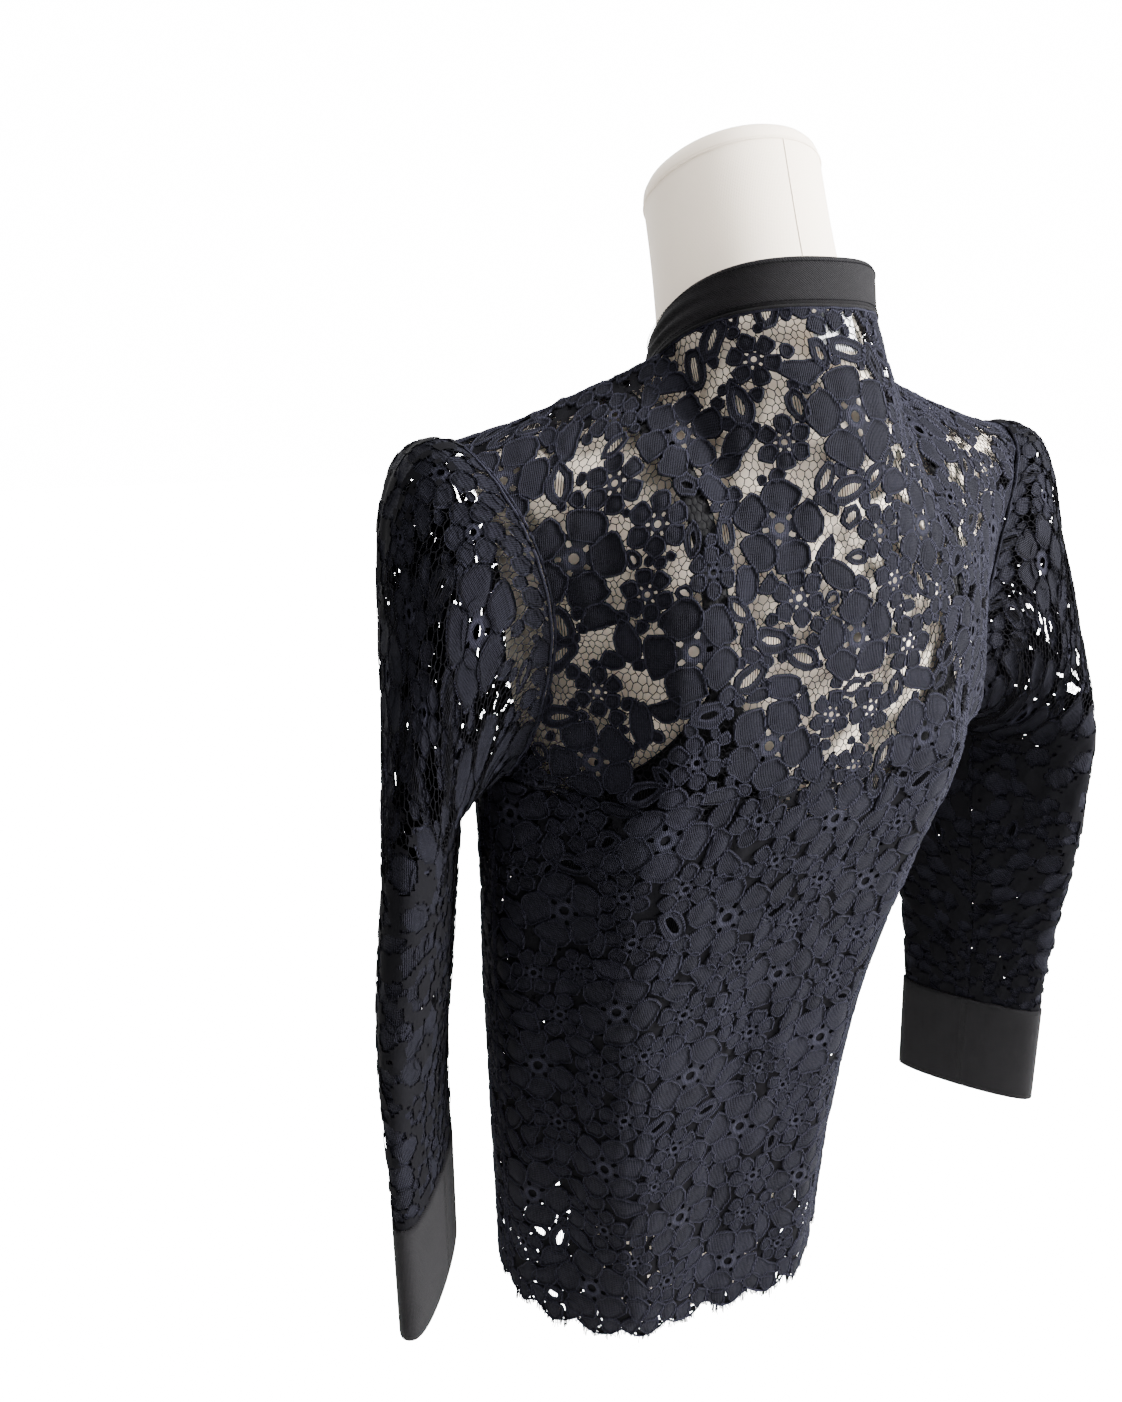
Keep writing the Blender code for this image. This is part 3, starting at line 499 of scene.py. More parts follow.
class Socket:
    """A value in a shader graph. Sums and products of it add their own nodes."""

    def __init__(self, graph: "ShaderGraph", link: bpy.types.NodeSocket) -> None:
        """Keep the graph and the socket."""
        self.graph = graph
        self.link = link

    def maths(self, operation: str, *values: "Socket | float") -> "Socket":
        """A Math node on this value and others."""
        inputs = dict(enumerate((self, *values)))
        return self.graph.node("ShaderNodeMath", {"operation": operation}, inputs)

    def __add__(self, other: "Socket | float") -> "Socket":
        """Sum."""
        return self.maths("ADD", other)

    __radd__ = __add__

    def __mul__(self, other: "Socket | float") -> "Socket":
        """Product."""
        return self.maths("MULTIPLY", other)

    __rmul__ = __mul__

    def __sub__(self, other: "Socket | float") -> "Socket":
        """Difference."""
        return self.maths("SUBTRACT", other)

    def __rsub__(self, other: float) -> "Socket":
        """Difference from a number."""
        return self.graph.node("ShaderNodeMath", {"operation": "SUBTRACT"}, {0: other, 1: self})

    def __pow__(self, other: float) -> "Socket":
        """Power."""
        return self.maths("POWER", other)

    def sine(self) -> "Socket":
        """Sine of it."""
        return self.maths("SINE")

    def limited(self) -> "Socket":
        """It, kept between 0 and 1."""
        return self.graph.node("ShaderNodeClamp", {}, {0: self})


class ShaderGraph:
    """A material's nodes round one Principled shader."""

    def __init__(self, name: str) -> None:
        """Make the material."""
        self.material = bpy.data.materials.new(name)
        self.material.use_nodes = True
        self.tree = self.material.node_tree
        self.shader = self.tree.nodes["Principled BSDF"]

    def node(
        self, kind: str, settings: dict[str, object], inputs: dict[object, object], output: object = 0
    ) -> Socket:
        """Add a node.

        Args:
            kind: The node's type.
            settings: Its own settings.
            inputs: A value or a Socket for each input, by name or number.
            output: Which output to hand back.

        Returns:
            That output.
        """
        node = self.tree.nodes.new(kind)
        for name, value in settings.items():
            setattr(node, name, value)
        for key, value in inputs.items():
            self.connect(node.inputs[key], value)
        return Socket(self, node.outputs[output])

    def connect(self, target: bpy.types.NodeSocket, value: object) -> None:
        """Link a Socket to an input, or set the input's value."""
        if isinstance(value, Socket):
            self.tree.links.new(value.link, target)
        else:
            target.default_value = value

    def set(self, name: str, value: object) -> None:
        """Feed an input of the Principled shader."""
        self.connect(self.shader.inputs[name], value)

    def place(self) -> Socket:
        """The object's own coordinates, in metres."""
        return self.node("ShaderNodeTexCoord", {}, {}, "Object")

    def flat_place(self) -> tuple[Socket, Socket]:
        """Distances across and up the cloth laid flat, in metres."""
        both = {0: self.node("ShaderNodeUVMap", {"uv_map": CLOTH_MAP}, {})}
        across = self.node("ShaderNodeSeparateXYZ", {}, both, 0)
        return across, self.node("ShaderNodeSeparateXYZ", {}, both, 1)

    def attribute(self, name: str) -> Socket:
        """A number that the mesh carries on its points."""
        return self.node("ShaderNodeAttribute", {"attribute_name": name}, {}, "Fac")

    def noise(self, scale: float, detail: float) -> Socket:
        """Noise from 0 to 1 at a scale of that many waves a metre."""
        inputs = {"Vector": self.place(), "Scale": scale, "Detail": detail}
        return self.node("ShaderNodeTexNoise", {}, inputs, 0)

    def mixed(self, factor: object, first: object, second: object) -> Socket:
        """A colour between two colours."""
        return self.node("ShaderNodeMix", {"data_type": "RGBA"}, {0: factor, 6: first, 7: second}, 2)

    def bump(self, height: Socket, distance: float, strength: float) -> None:
        """Feed Normal with a bump of that height."""
        inputs = {"Height": height, "Distance": distance, "Strength": strength}
        self.set("Normal", self.node("ShaderNodeBump", {}, inputs))


def rgba(red: float, green: float, blue: float) -> tuple[float, float, float, float]:
    """A linear colour."""
    return (red, green, blue, 1.0)


@dataclass(frozen=True)
class LaceFinish:
    """Black cotton lace: petals with fine ribs and raised cords, a painted highlight on the cords' crests
    and painted shade in the rib troughs and at the motifs' rims.
    """

    name: str = "lace"
    ground: tuple = rgba(0.0034, 0.0033, 0.0050)
    lit: tuple = rgba(0.0130, 0.0127, 0.0205)
    # Painted highlight colour: the cords' crests are drawn toward it
    cord: tuple = rgba(0.0170, 0.0168, 0.0260)
    # Painted shade colour: the rib troughs and the motifs' sunken rims are drawn toward it
    painted_shade: tuple = rgba(0.0008, 0.0008, 0.0010)
    rib_pitch: float = 1.05 * MM
    # How strongly the rib troughs take the painted shade
    rib_shade_strength: float = 0.72
    # How strongly the cords' crests take the painted highlight
    crest_highlight_share: float = 0.8
    # How strongly the motifs' sunken rims take the painted shade
    rim_shade_share: float = 0.75

    def material(self) -> bpy.types.Material:
        """Build the material.

        Returns:
            The lace's material.
        """
        graph = ShaderGraph(self.name)
        across, up = graph.flat_place()
        cord = graph.attribute(CORD)
        tone = graph.attribute(TONE)
        sway = graph.noise(160.0, 2.0)
        rib = ((across * (2 * math.pi / self.rib_pitch) + sway * 3.0).sine() * 0.5 + 0.5) ** 1.5
        slub = graph.noise(900.0, 2.0)
        pile = graph.noise(45.0, 3.0)
        shade = (tone * 0.55 + pile * 0.45 + slub * 0.25 - 0.12).limited()
        cloth = graph.mixed(shade, self.ground, self.lit)
        # Painted shade in the rib troughs, between the ribs that the bump raises
        rib_shaded = graph.mixed((1 - rib) * self.rib_shade_strength, cloth, self.painted_shade)
        # Painted highlight mask: high where the cord number marks a crest
        crest = ((cord - 0.45) * 2.2).limited()
        # Painted shade at the motifs' sunken rims, where the cord number is low
        rim_shade = ((0.22 - cord) * 4.0).limited() * self.rim_shade_share
        # Painted highlight on the cords' crests
        corded = graph.mixed(crest * self.crest_highlight_share, rib_shaded, self.cord)
        graph.set("Base Color", graph.mixed(rim_shade, corded, self.painted_shade))
        graph.set("Roughness", 0.78 + slub * 0.12)
        graph.set("Sheen Weight", 0.02)
        graph.set("Sheen Roughness", 0.5)
        graph.set("Specular IOR Level", 0.06)
        graph.set("Sheen Tint", rgba(0.60, 0.62, 0.85))
        graph.bump(rib * 0.9 + slub * 0.7 + (up * 4200.0).sine() * 0.15, 0.6 * MM, 1.0)
        return graph.material


@dataclass(frozen=True)
class NetFinish:
    """Fine twisted thread of the net, the slits and the eyelashes."""

    name: str = "lace_net"
    dark: tuple = rgba(0.0012, 0.0012, 0.0015)
    light: tuple = rgba(0.0050, 0.0048, 0.0064)

    def material(self) -> bpy.types.Material:
        """Build the material.

        Returns:
            The thread's material.
        """
        graph = ShaderGraph(self.name)
        twist = graph.noise(1400.0, 1.0)
        graph.set("Base Color", graph.mixed(twist, self.dark, self.light))
        graph.set("Roughness", 0.8 + twist * 0.2)
        graph.set("Specular IOR Level", 0.05)
        graph.bump(twist, 0.1 * MM, 0.5)
        return graph.material


@dataclass(frozen=True)
class TwillFinish:
    """Charcoal cotton twill of the collar and cuffs."""

    name: str = "twill"
    dark: tuple = rgba(0.0028, 0.0027, 0.0031)
    light: tuple = rgba(0.0105, 0.0098, 0.0112)
    wale_pitch: float = 0.9 * MM
    weft_pitch: float = 0.5 * MM

    def material(self) -> bpy.types.Material:
        """Build the material.

        Returns:
            The twill's material.
        """
        graph = ShaderGraph(self.name)
        across, up = graph.flat_place()
        wander = graph.noise(300.0, 2.0)
        slope = (across * 0.62 + up) * (2 * math.pi / self.wale_pitch)
        wale = (slope + wander * 1.5).sine() * 0.5 + 0.5
        weft = (across * (2 * math.pi / self.weft_pitch)).sine() * 0.5 + 0.5
        fluff = graph.noise(1500.0, 2.0)
        wear = graph.noise(38.0, 3.0)
        shade = (wale * 0.35 + weft * 0.1 + fluff * 0.35 + wear * 0.45 - 0.12).limited()
        graph.set("Base Color", graph.mixed(shade, self.dark, self.light))
        graph.set("Roughness", 0.8 + fluff * 0.15)
        graph.set("Sheen Weight", 0.02)
        graph.set("Sheen Roughness", 0.55)
        graph.set("Specular IOR Level", 0.08)
        graph.bump(wale * 0.7 + weft * 0.3 + fluff * 0.6, 0.4 * MM, 0.9)
        return graph.material


@dataclass(frozen=True)
class LiningFinish:
    """Smooth black woven lining."""

    name: str = "lining"
    dark: tuple = rgba(0.0020, 0.0020, 0.0024)
    light: tuple = rgba(0.0050, 0.0050, 0.0060)

    def material(self) -> bpy.types.Material:
        """Build the material.

        Returns:
            The lining's material.
        """
        graph = ShaderGraph(self.name)
        across, up = graph.flat_place()
        weave = (across * 9000.0).sine() * (up * 9000.0).sine() * 0.5 + 0.5
        cloud = graph.noise(30.0, 3.0)
        graph.set("Base Color", graph.mixed(cloud, self.dark, self.light))
        graph.set("Roughness", 0.6 + cloud * 0.2)
        graph.set("Specular IOR Level", 0.1)
        graph.bump(weave + cloud * 2.0, 0.12 * MM, 0.4)
        return graph.material


@dataclass(frozen=True)
class JerseyFinish:
    """Cream knit cover of the dress form."""

    name: str = "jersey"
    light: tuple = rgba(0.96, 0.84, 0.71)
    shade: tuple = rgba(0.86, 0.74, 0.60)
    stitch: float = 0.9 * MM

    def material(self) -> bpy.types.Material:
        """Build the material.

        Returns:
            The jersey's material.
        """
        graph = ShaderGraph(self.name)
        across, up = graph.flat_place()
        wave = 2 * math.pi / self.stitch
        legs = (across * wave).sine()
        loops = (up * (wave * 1.3) + legs * 0.9).sine() * 0.5 + 0.5
        fluff = graph.noise(1100.0, 2.0)
        cloud = graph.noise(16.0, 3.0)
        shade = (cloud * 0.5 + loops * 0.18 + fluff * 0.3 - 0.1).limited()
        graph.set("Base Color", graph.mixed(shade, self.shade, self.light))
        graph.set("Roughness", 0.82 + fluff * 0.12)
        graph.set("Sheen Weight", 0.15)
        graph.bump(loops * 0.6 + legs * 0.25 + fluff * 0.4, 0.16 * MM, 0.55)
        return graph.material


@dataclass(frozen=True)
class LabelFinish:
    """White woven tape of the blank label."""

    name: str = "label"
    light: tuple = rgba(0.86, 0.86, 0.87)
    shade: tuple = rgba(0.74, 0.74, 0.76)

    def material(self) -> bpy.types.Material:
        """Build the material.

        Returns:
            The label's material.
        """
        graph = ShaderGraph(self.name)
        across, up = graph.flat_place()
        weave = (across * 12000.0).sine() * (up * 9000.0).sine() * 0.5 + 0.5
        cloud = graph.noise(90.0, 2.0)
        graph.set("Base Color", graph.mixed(cloud * 0.6 + weave * 0.2, self.light, self.shade))
        graph.set("Roughness", 0.55 + cloud * 0.1)
        graph.bump(weave, 0.06 * MM, 0.4)
        return graph.material


@dataclass(frozen=True)
class ButtonFinish:
    """Polished dark button."""

    name: str = "button"
    dark: tuple = rgba(0.014, 0.014, 0.016)
    light: tuple = rgba(0.030, 0.029, 0.032)

    def material(self) -> bpy.types.Material:
        """Build the material.

        Returns:
            The button's material.
        """
        graph = ShaderGraph(self.name)
        cloud = graph.noise(420.0, 2.0)
        graph.set("Base Color", graph.mixed(cloud, self.dark, self.light))
        graph.set("Roughness", 0.28 + cloud * 0.12)
        graph.bump(cloud, 0.05 * MM, 0.3)
        return graph.material


@dataclass(frozen=True)
class FloorFinish:
    """Plain pale studio paper."""

    name: str = "studio_paper"
    light: tuple = rgba(0.93, 0.93, 0.925)
    shade: tuple = rgba(0.90, 0.90, 0.895)
    glow: float = 18.0

    def material(self) -> bpy.types.Material:
        """Build the material.

        Returns:
            The paper's material.
        """
        graph = ShaderGraph(self.name)
        cloud = graph.noise(3.0, 2.0)
        graph.set("Base Color", graph.mixed(cloud, self.light, self.shade))
        graph.set("Roughness", 0.9)
        seen = graph.node("ShaderNodeLightPath", {}, {}, "Is Camera Ray")
        graph.set("Emission Color", graph.mixed(seen, rgba(0.0, 0.0, 0.0), rgba(1.0, 1.0, 1.0)))
        graph.set("Emission Strength", self.glow)
        return graph.material


class Wardrobe:
    """The materials, each made once."""

    def __init__(self) -> None:
        """Make every material."""
        self.lace = LaceFinish().material()
        self.net = NetFinish().material()
        self.twill = TwillFinish().material()
        self.lining = LiningFinish().material()
        self.jersey = JerseyFinish().material()
        self.label = LabelFinish().material()
        self.button = ButtonFinish().material()
        self.floor = FloorFinish().material()


# Meshes


class MeshMaker:
    """Collects points, faces, flat places and the numbers that the points carry."""

    def __init__(self) -> None:
        """Start empty."""
        self.points: list[np.ndarray] = []
        self.flats: list[np.ndarray] = []
        self.cords: list[np.ndarray] = []
        self.tones: list[np.ndarray] = []
        self.faces: list[np.ndarray] = []
        self.count = 0

    def add(
        self,
        points: np.ndarray,
        faces: np.ndarray,
        flats: np.ndarray | None = None,
        cords: np.ndarray | float = 0.3,
        tone: float = 0.5,
        caps: np.ndarray | None = None,
    ) -> None:
        """Add a part.

        Args:
            points: Its points.
            faces: Its triangles or quads, one row each.
            flats: Flat places of its points.
            cords: How much of a cord each point is, from 0 at a sunken rim to 1 on a crest; the lace's
                shader paints shade near 0 and a highlight near 1.
            tone: Its own tone, from 0 to 1.
            caps: More faces, one row each, with another number of corners.
        """
        number = len(points)
        self.points.append(np.asarray(points, float))
        self.flats.append(np.zeros((number, 2)) if flats is None else np.asarray(flats, float))
        self.cords.append(np.broadcast_to(np.asarray(cords, float), (number,)))
        self.tones.append(np.full(number, tone))
        for block in (faces, caps):
            if block is not None and len(block):
                self.faces.append(np.asarray(block, int) + self.count)
        self.count += number

    def piece(self, name: str, material: bpy.types.Material, smooth: bool = True) -> bpy.types.Object:
        """Make the object.

        Args:
            name: The piece's name.
            material: Its material.
            smooth: Whether it shades smoothly.

        Returns:
            The new object.
        """
        mesh = bpy.data.meshes.new(name)
        points = np.concatenate(self.points)
        faces = [row for block in self.faces for row in block.tolist()]
        mesh.from_pydata(points.tolist(), [], faces)
        flats = np.concatenate(self.flats)
        corners = np.zeros(len(mesh.loops), int)
        mesh.loops.foreach_get("vertex_index", corners)
        layer = mesh.uv_layers.new(name=CLOTH_MAP)
        layer.uv.foreach_set("vector", flats[corners].astype(np.float32).ravel())
        for word, values in ((CORD, self.cords), (TONE, self.tones)):
            numbers = mesh.attributes.new(word, "FLOAT", "POINT")
            numbers.data.foreach_set("value", np.concatenate(values).astype(np.float32))
        if smooth:
            mesh.shade_smooth()
        mesh.materials.append(material)
        mesh.validate()
        mesh.update()
        piece = bpy.data.objects.new(name, mesh)
        bpy.context.scene.collection.objects.link(piece)
        return piece


def grid_faces(rows: int, columns: int, wrap: bool = False) -> np.ndarray:
    """Quads of a grid of points.

    Args:
        rows: Rows of points.
        columns: Points in a row.
        wrap: Whether the last column joins the first.

    Returns:
        One row of four numbers for each quad.
    """
    cells = columns if wrap else columns - 1
    i, j = np.meshgrid(np.arange(rows - 1), np.arange(cells), indexing="ij")
    right = (j + 1) % columns
    quads = [i * columns + j, i * columns + right, (i + 1) * columns + right, (i + 1) * columns + j]
    return np.stack(quads, axis=-1).reshape(-1, 4)


def flat_grid(grid: np.ndarray) -> np.ndarray:
    """Flat places of a grid: distance along each row and mean distance up."""
    steps = np.linalg.norm(np.diff(grid, axis=1), axis=2)
    across = np.concatenate([np.zeros((len(grid), 1)), np.cumsum(steps, axis=1)], axis=1)
    rises = np.linalg.norm(np.diff(grid, axis=0), axis=2).mean(axis=1)
    up = np.concatenate([[0.0], np.cumsum(rises)])
    return np.stack([across, np.tile(up[:, None], (1, grid.shape[1]))], axis=-1)


def add_grid(maker: MeshMaker, grid: np.ndarray, turn: int = 1) -> None:
    """Add a grid's quads with their flat places.

    Args:
        maker: Where it goes.
        grid: Rows of points.
        turn: 1 where its faces look outwards as listed, or -1.
    """
    faces = grid_faces(*grid.shape[:2])[:, ::turn]
    maker.add(grid.reshape(-1, 3), faces, flat_grid(grid).reshape(-1, 2))


def add_wall(maker: MeshMaker, outer: np.ndarray, inner: np.ndarray, wrap: bool, turn: int) -> None:
    """Add a closed thin wall between two grids.

    Args:
        maker: Where it goes.
        outer: The outer grid.
        inner: The inner grid.
        wrap: Whether the columns close into a ring.
        turn: 1 where the grid's faces look outwards as listed, or -1.
    """
    rows, columns = outer.shape[:2]
    faces = grid_faces(rows, columns, wrap)
    behind = rows * columns
    cells = columns if wrap else columns - 1
    j = np.arange(cells)
    right = (j + 1) % columns
    rims = [np.stack([right, j, j + behind, right + behind], axis=1)]
    last = (rows - 1) * columns
    rims.append(np.stack([last + j, last + right, last + right + behind, last + j + behind], axis=1))
    if not wrap:
        i = np.arange(rows - 1) * columns
        rims.append(np.stack([i, i + columns, i + columns + behind, i + behind], axis=1))
        end = i + columns - 1
        rims.append(np.stack([end + columns, end, end + behind, end + columns + behind], axis=1))
    every = np.concatenate([faces, faces[:, ::-1] + behind, *rims])
    flats = flat_grid(outer).reshape(-1, 2)
    points = np.concatenate([outer.reshape(-1, 3), inner.reshape(-1, 3)])
    maker.add(points, every[:, ::turn], np.concatenate([flats, flats]))


def add_tube(
    maker: MeshMaker, path: np.ndarray, radius: float, sides: int, closed: bool = False
) -> None:
    """Add a round cord along a path.

    Args:
        maker: Where it goes.
        path: The points of its middle line.
        radius: Its radius.
        sides: Points round it.
        closed: Whether it runs back into itself.
    """
    path = np.asarray(path, float)
    if closed:
        along = np.roll(path, -1, axis=0) - np.roll(path, 1, axis=0)
    else:
        along = np.gradient(path, axis=0)
    along /= np.maximum(np.linalg.norm(along, axis=1, keepdims=True), 1e-12)
    helper = np.where(np.abs(along[:, 2:3]) > 0.9, (1.0, 0.0, 0.0), (0.0, 0.0, 1.0))
    first = np.cross(along, helper)
    first /= np.linalg.norm(first, axis=1, keepdims=True)
    second = np.cross(along, first)
    turns = 2 * np.pi * np.arange(sides) / sides
    ring = np.cos(turns)[None, :, None] * first[:, None] + np.sin(turns)[None, :, None] * second[:, None]
    points = (path[:, None] + ring * radius).reshape(-1, 3)
    faces = grid_faces(len(path), sides, True)
    if closed:
        last = (len(path) - 1) * sides + np.arange(sides)
        after = (len(path) - 1) * sides + (np.arange(sides) + 1) % sides
        joint = np.stack([last, after, after % sides, last % sides], axis=1)
        faces = np.concatenate([faces, joint])
    lengths = np.concatenate([[0], np.cumsum(np.linalg.norm(np.diff(path, axis=0), axis=1))])
    flats = np.stack([np.tile(turns * radius, len(path)), np.repeat(lengths, sides)], axis=1)
    # Cord number 0.9: on lace, the whole tube takes the painted crest highlight
    maker.add(points, faces[:, ::-1], flats, 0.9)


def declare(
    pieces: Sequence[bpy.types.Object],
    nodes: Sequence[str],
) -> None:
    """Hide the nodes that a piece of cloth replaces and attach it to the body that holds it.

    Args:
        pieces: The cloth, and the pieces that are worked on it.
        nodes: The nodes that it stands for.
    """
    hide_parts(*nodes)
    for piece in pieces:
        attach(piece, BODY)
        LOG.info("%s: %d faces", piece.name, len(piece.data.polygons))


# The lace, laid flat and worn

SMALLEST_FACE = 0.02 * MM**2


def with_area(faces: np.ndarray, flat: np.ndarray) -> np.ndarray:
    """The quads that keep some area where places were drawn back to the cloth's edges.

    Args:
        faces: The quads.
        flat: The flat places that they join.

    Returns:
        Those quads.
    """
    corners = flat[faces]
    first, second = corners[:, 2] - corners[:, 0], corners[:, 3] - corners[:, 1]
    return faces[np.abs(first[:, 0] * second[:, 1] - first[:, 1] * second[:, 0]) > SMALLEST_FACE]


class ClothMap:
    """A lace piece laid flat. Its places are distances from its middle line and up from its first row."""

    def __init__(self, grid: np.ndarray, outwards: int) -> None:
        """Work out the piece's flat sizes.

        Args:
            grid: Rows of points of the worn piece.
            outwards: The turn of its normals.
        """
        self.columns = grid.shape[1] - 1
        self.grid = np.array([even_steps(row, self.columns) for row in grid])
        self.normals = grid_normals(self.grid, outwards)
        lengths = np.linalg.norm(np.diff(self.grid, axis=1), axis=2).sum(axis=1)
        rises = np.linalg.norm(np.diff(self.grid, axis=0), axis=2)
        self.up = np.concatenate([[0.0], np.cumsum(rises.mean(axis=1))])
        self.half = lengths / 2
        steps = np.diff(self.up)[:, None]
        stretch = rises / steps
        self.stretch = np.concatenate([stretch, stretch[-1:]])
        self.length = float(self.up[-1])
        self.width = float(lengths.max())
        self.area = float(np.sum((self.half[1:] + self.half[:-1]) * np.diff(self.up)))

    def rows_at(self, up: np.ndarray) -> np.ndarray:
        """Fractional rows at distances up, which may lie a little beyond the first row."""
        rows = np.interp(up, self.up, np.arange(len(self.up)))
        return np.where(up < 0, up / self.up[1], rows)

    def half_at(self, up: np.ndarray | float) -> np.ndarray | float:
        """Half the cloth's width at distances up."""
        return np.interp(up, self.up, self.half)

    def spread(self, values: np.ndarray, across: np.ndarray, up: np.ndarray) -> np.ndarray:
        """Values of the grid at flat places.

        Args:
            values: One value or vector for each grid point.
            across: Distances from the middle line.
            up: Distances up.

        Returns:
            The values there.
        """
        columns = (across / (2 * self.half_at(up)) + 0.5) * self.columns
        return sampled(values, self.rows_at(up), columns)

    def crinkle(self, flat: np.ndarray) -> np.ndarray:
        """The small upright crinkles of the cloth: how far each flat place lies in or out."""
        x, y = flat[:, 0] * 1000, flat[:, 1] * 1000
        wander = 5.0 * np.sin(y / 31) + 3.0 * np.sin(y / 13 + x / 40)
        coarse = np.sin((x + wander) / 3.4) * (0.6 + 0.4 * np.sin(y / 23 + x / 17))
        fine = np.sin((x - wander) / 1.7 + y / 11) * np.sin(y / 7 + x / 9)
        return (0.46 * coarse + 0.28 * fine - 0.4) * MM

    def worn(self, flat: np.ndarray, lift: np.ndarray | float) -> np.ndarray:
        """Places on the worn piece.

        Args:
            flat: Flat places, one row each.
            lift: How far each stands out of the piece's outer face.

        Returns:
            The places in space.
        """
        normals = self.spread(self.normals, flat[:, 0], flat[:, 1])
        normals /= np.linalg.norm(normals, axis=1, keepdims=True)
        lift = np.asarray(lift, float) + self.crinkle(flat)
        return self.spread(self.grid, flat[:, 0], flat[:, 1]) + normals * lift[:, None]


class Shape(Enum):
    """Outlines of the lace's motifs."""

    PETAL = "petal"
    LEAF = "leaf"
    DROP = "drop"


@dataclass
class Motif:
    """One petal or leaf on the flat cloth."""

    shape: Shape
    across: float
    up: float
    half_length: float
    half_width: float
    turn: float
    lift: float = 0.0
    slit: float = 0.0
    tone: float = 0.5
    lobes: int = 5
    lobe_turn: float = 0.0
    bend: float = 0.0

    def outline(self, count: int) -> np.ndarray:
        """The outline round the motif's own middle, its length along the first axis.

        Args:
            count: The number of points.

        Returns:
            The points.
        """
        theta = 2 * np.pi * np.arange(count) / count
        if self.shape is Shape.LEAF:
            x = np.sign(np.cos(theta)) * np.abs(np.cos(theta)) ** 0.85
            y = np.sin(theta) * np.abs(np.sin(theta)) ** 0.45 + self.bend * (0.5 - x**2)
        elif self.shape is Shape.DROP:
            x = np.cos(theta)
            y = np.sin(theta) * (1.0 + 0.42 * np.cos(theta)) / 1.08
        else:
            x = np.cos(theta) * (1.0 + 0.06 * np.cos(3 * theta))
            y = np.sin(theta) * (1.0 + 0.07 * np.cos(2 * theta)) * (1.0 + 0.16 * np.cos(theta))
        depth = 0.05 + 0.04 * np.clip(np.cos(theta), 0, 1)
        lobed = 1.0 + depth * np.cos(self.lobes * theta + self.lobe_turn)
        lobed += 0.03 * np.cos((2 * self.lobes + 1) * theta + 2.3 * self.lobe_turn)
        return np.stack([x * self.half_length * lobed, y * self.half_width * lobed], axis=1)

    def on_cloth(self, local: np.ndarray, stretch: float) -> np.ndarray:
        """Turn local points and put them on the flat cloth.

        Args:
            local: Points round the motif's middle.
            stretch: How long a step up the flat cloth is when worn.

        Returns:
            Flat places.
        """
        cos, sin = math.cos(self.turn), math.sin(self.turn)
        x = local[:, 0] * cos - local[:, 1] * sin
        y = local[:, 0] * sin + local[:, 1] * cos
        return np.stack([self.across + x, self.up + y / stretch], axis=1)

    def covers(self, x: np.ndarray, y: np.ndarray) -> np.ndarray:
        """Whether places lie on the motif.

        Args:
            x: Distances across from its middle.
            y: Distances up from its middle, as worn.

        Returns:
            True for each place that does.
        """
        cos, sin = math.cos(self.turn), math.sin(self.turn)
        along = (x * cos + y * sin) / self.half_length
        over = (-x * sin + y * cos) / self.half_width
        if self.shape is Shape.LEAF:
            middle = self.bend * (0.5 - along**2)
            return np.abs(over - middle) < np.clip(1 - np.abs(along) ** 1.6, 0, 1) * 0.95
        if self.shape is Shape.DROP:
            return along**2 + (over / (1 + 0.38 * along)) ** 2 < 0.92
        return along**2 + over**2 < 0.95


@dataclass
class Heart:
    """The middle of a flower: a disc with a hole and a ring of holes between its petals."""

    across: float
    up: float
    radius: float
    count: int
    turn: float
    tone: float

    def rings(self) -> tuple[np.ndarray, np.ndarray, np.ndarray, np.ndarray]:
        """The heart's points on four columns for each petal.

        Returns:
            Local points, heights, cord numbers and faces.
        """
        columns = 4 * self.count
        theta = self.turn + 2 * np.pi * np.arange(columns) / columns
        way = np.stack([np.cos(theta), np.sin(theta)], axis=1)
        shares = (0.11, 0.16, 0.235, 0.40, 0.52)
        places = np.array([way * self.radius * share for share in shares])
        size = 0.075 * self.radius
        turns = np.radians((225, 270, 315, 45, 90, 135))
        for k in range(self.count):
            middle = way[4 * k] * self.radius * 0.318
            out, beside = way[4 * k], np.array((-way[4 * k][1], way[4 * k][0]))
            for (ring, step), angle in zip(((2, -1), (2, 0), (2, 1), (3, 1), (3, 0), (3, -1)), turns):
                round_out = out * math.sin(angle) + beside * math.cos(angle)
                places[ring, (4 * k + step) % columns] = middle + round_out * size
        faces = grid_faces(len(shares), columns, True)
        row, column = faces[:, 0] // columns, faces[:, 0] % columns
        open_cell = (row == 2) & ((column % 4 == 0) | (column % 4 == 3))
        heights = np.repeat((0.1, 0.7, 0.45, 0.4, 0.0), columns) * MM
        # Cord numbers: a painted highlight on the raised ring and a little painted shade on the outer rim
        cords = np.repeat((0.5, 1.0, 0.5, 0.5, 0.15), columns)
        return places.reshape(-1, 2), heights, cords, faces[~open_cell]


@dataclass(frozen=True)
class Cover:
    """Raster of the flat places that motifs cover."""

    xs: np.ndarray
    ys: np.ndarray
    filled: np.ndarray

    def at(self, places: np.ndarray) -> np.ndarray:
        """Whether each flat place is covered."""
        column = np.clip(np.searchsorted(self.xs, places[:, 0]), 0, len(self.xs) - 1)
        row = np.clip(np.searchsorted(self.ys, places[:, 1]), 0, len(self.ys) - 1)
        return self.filled[row, column]


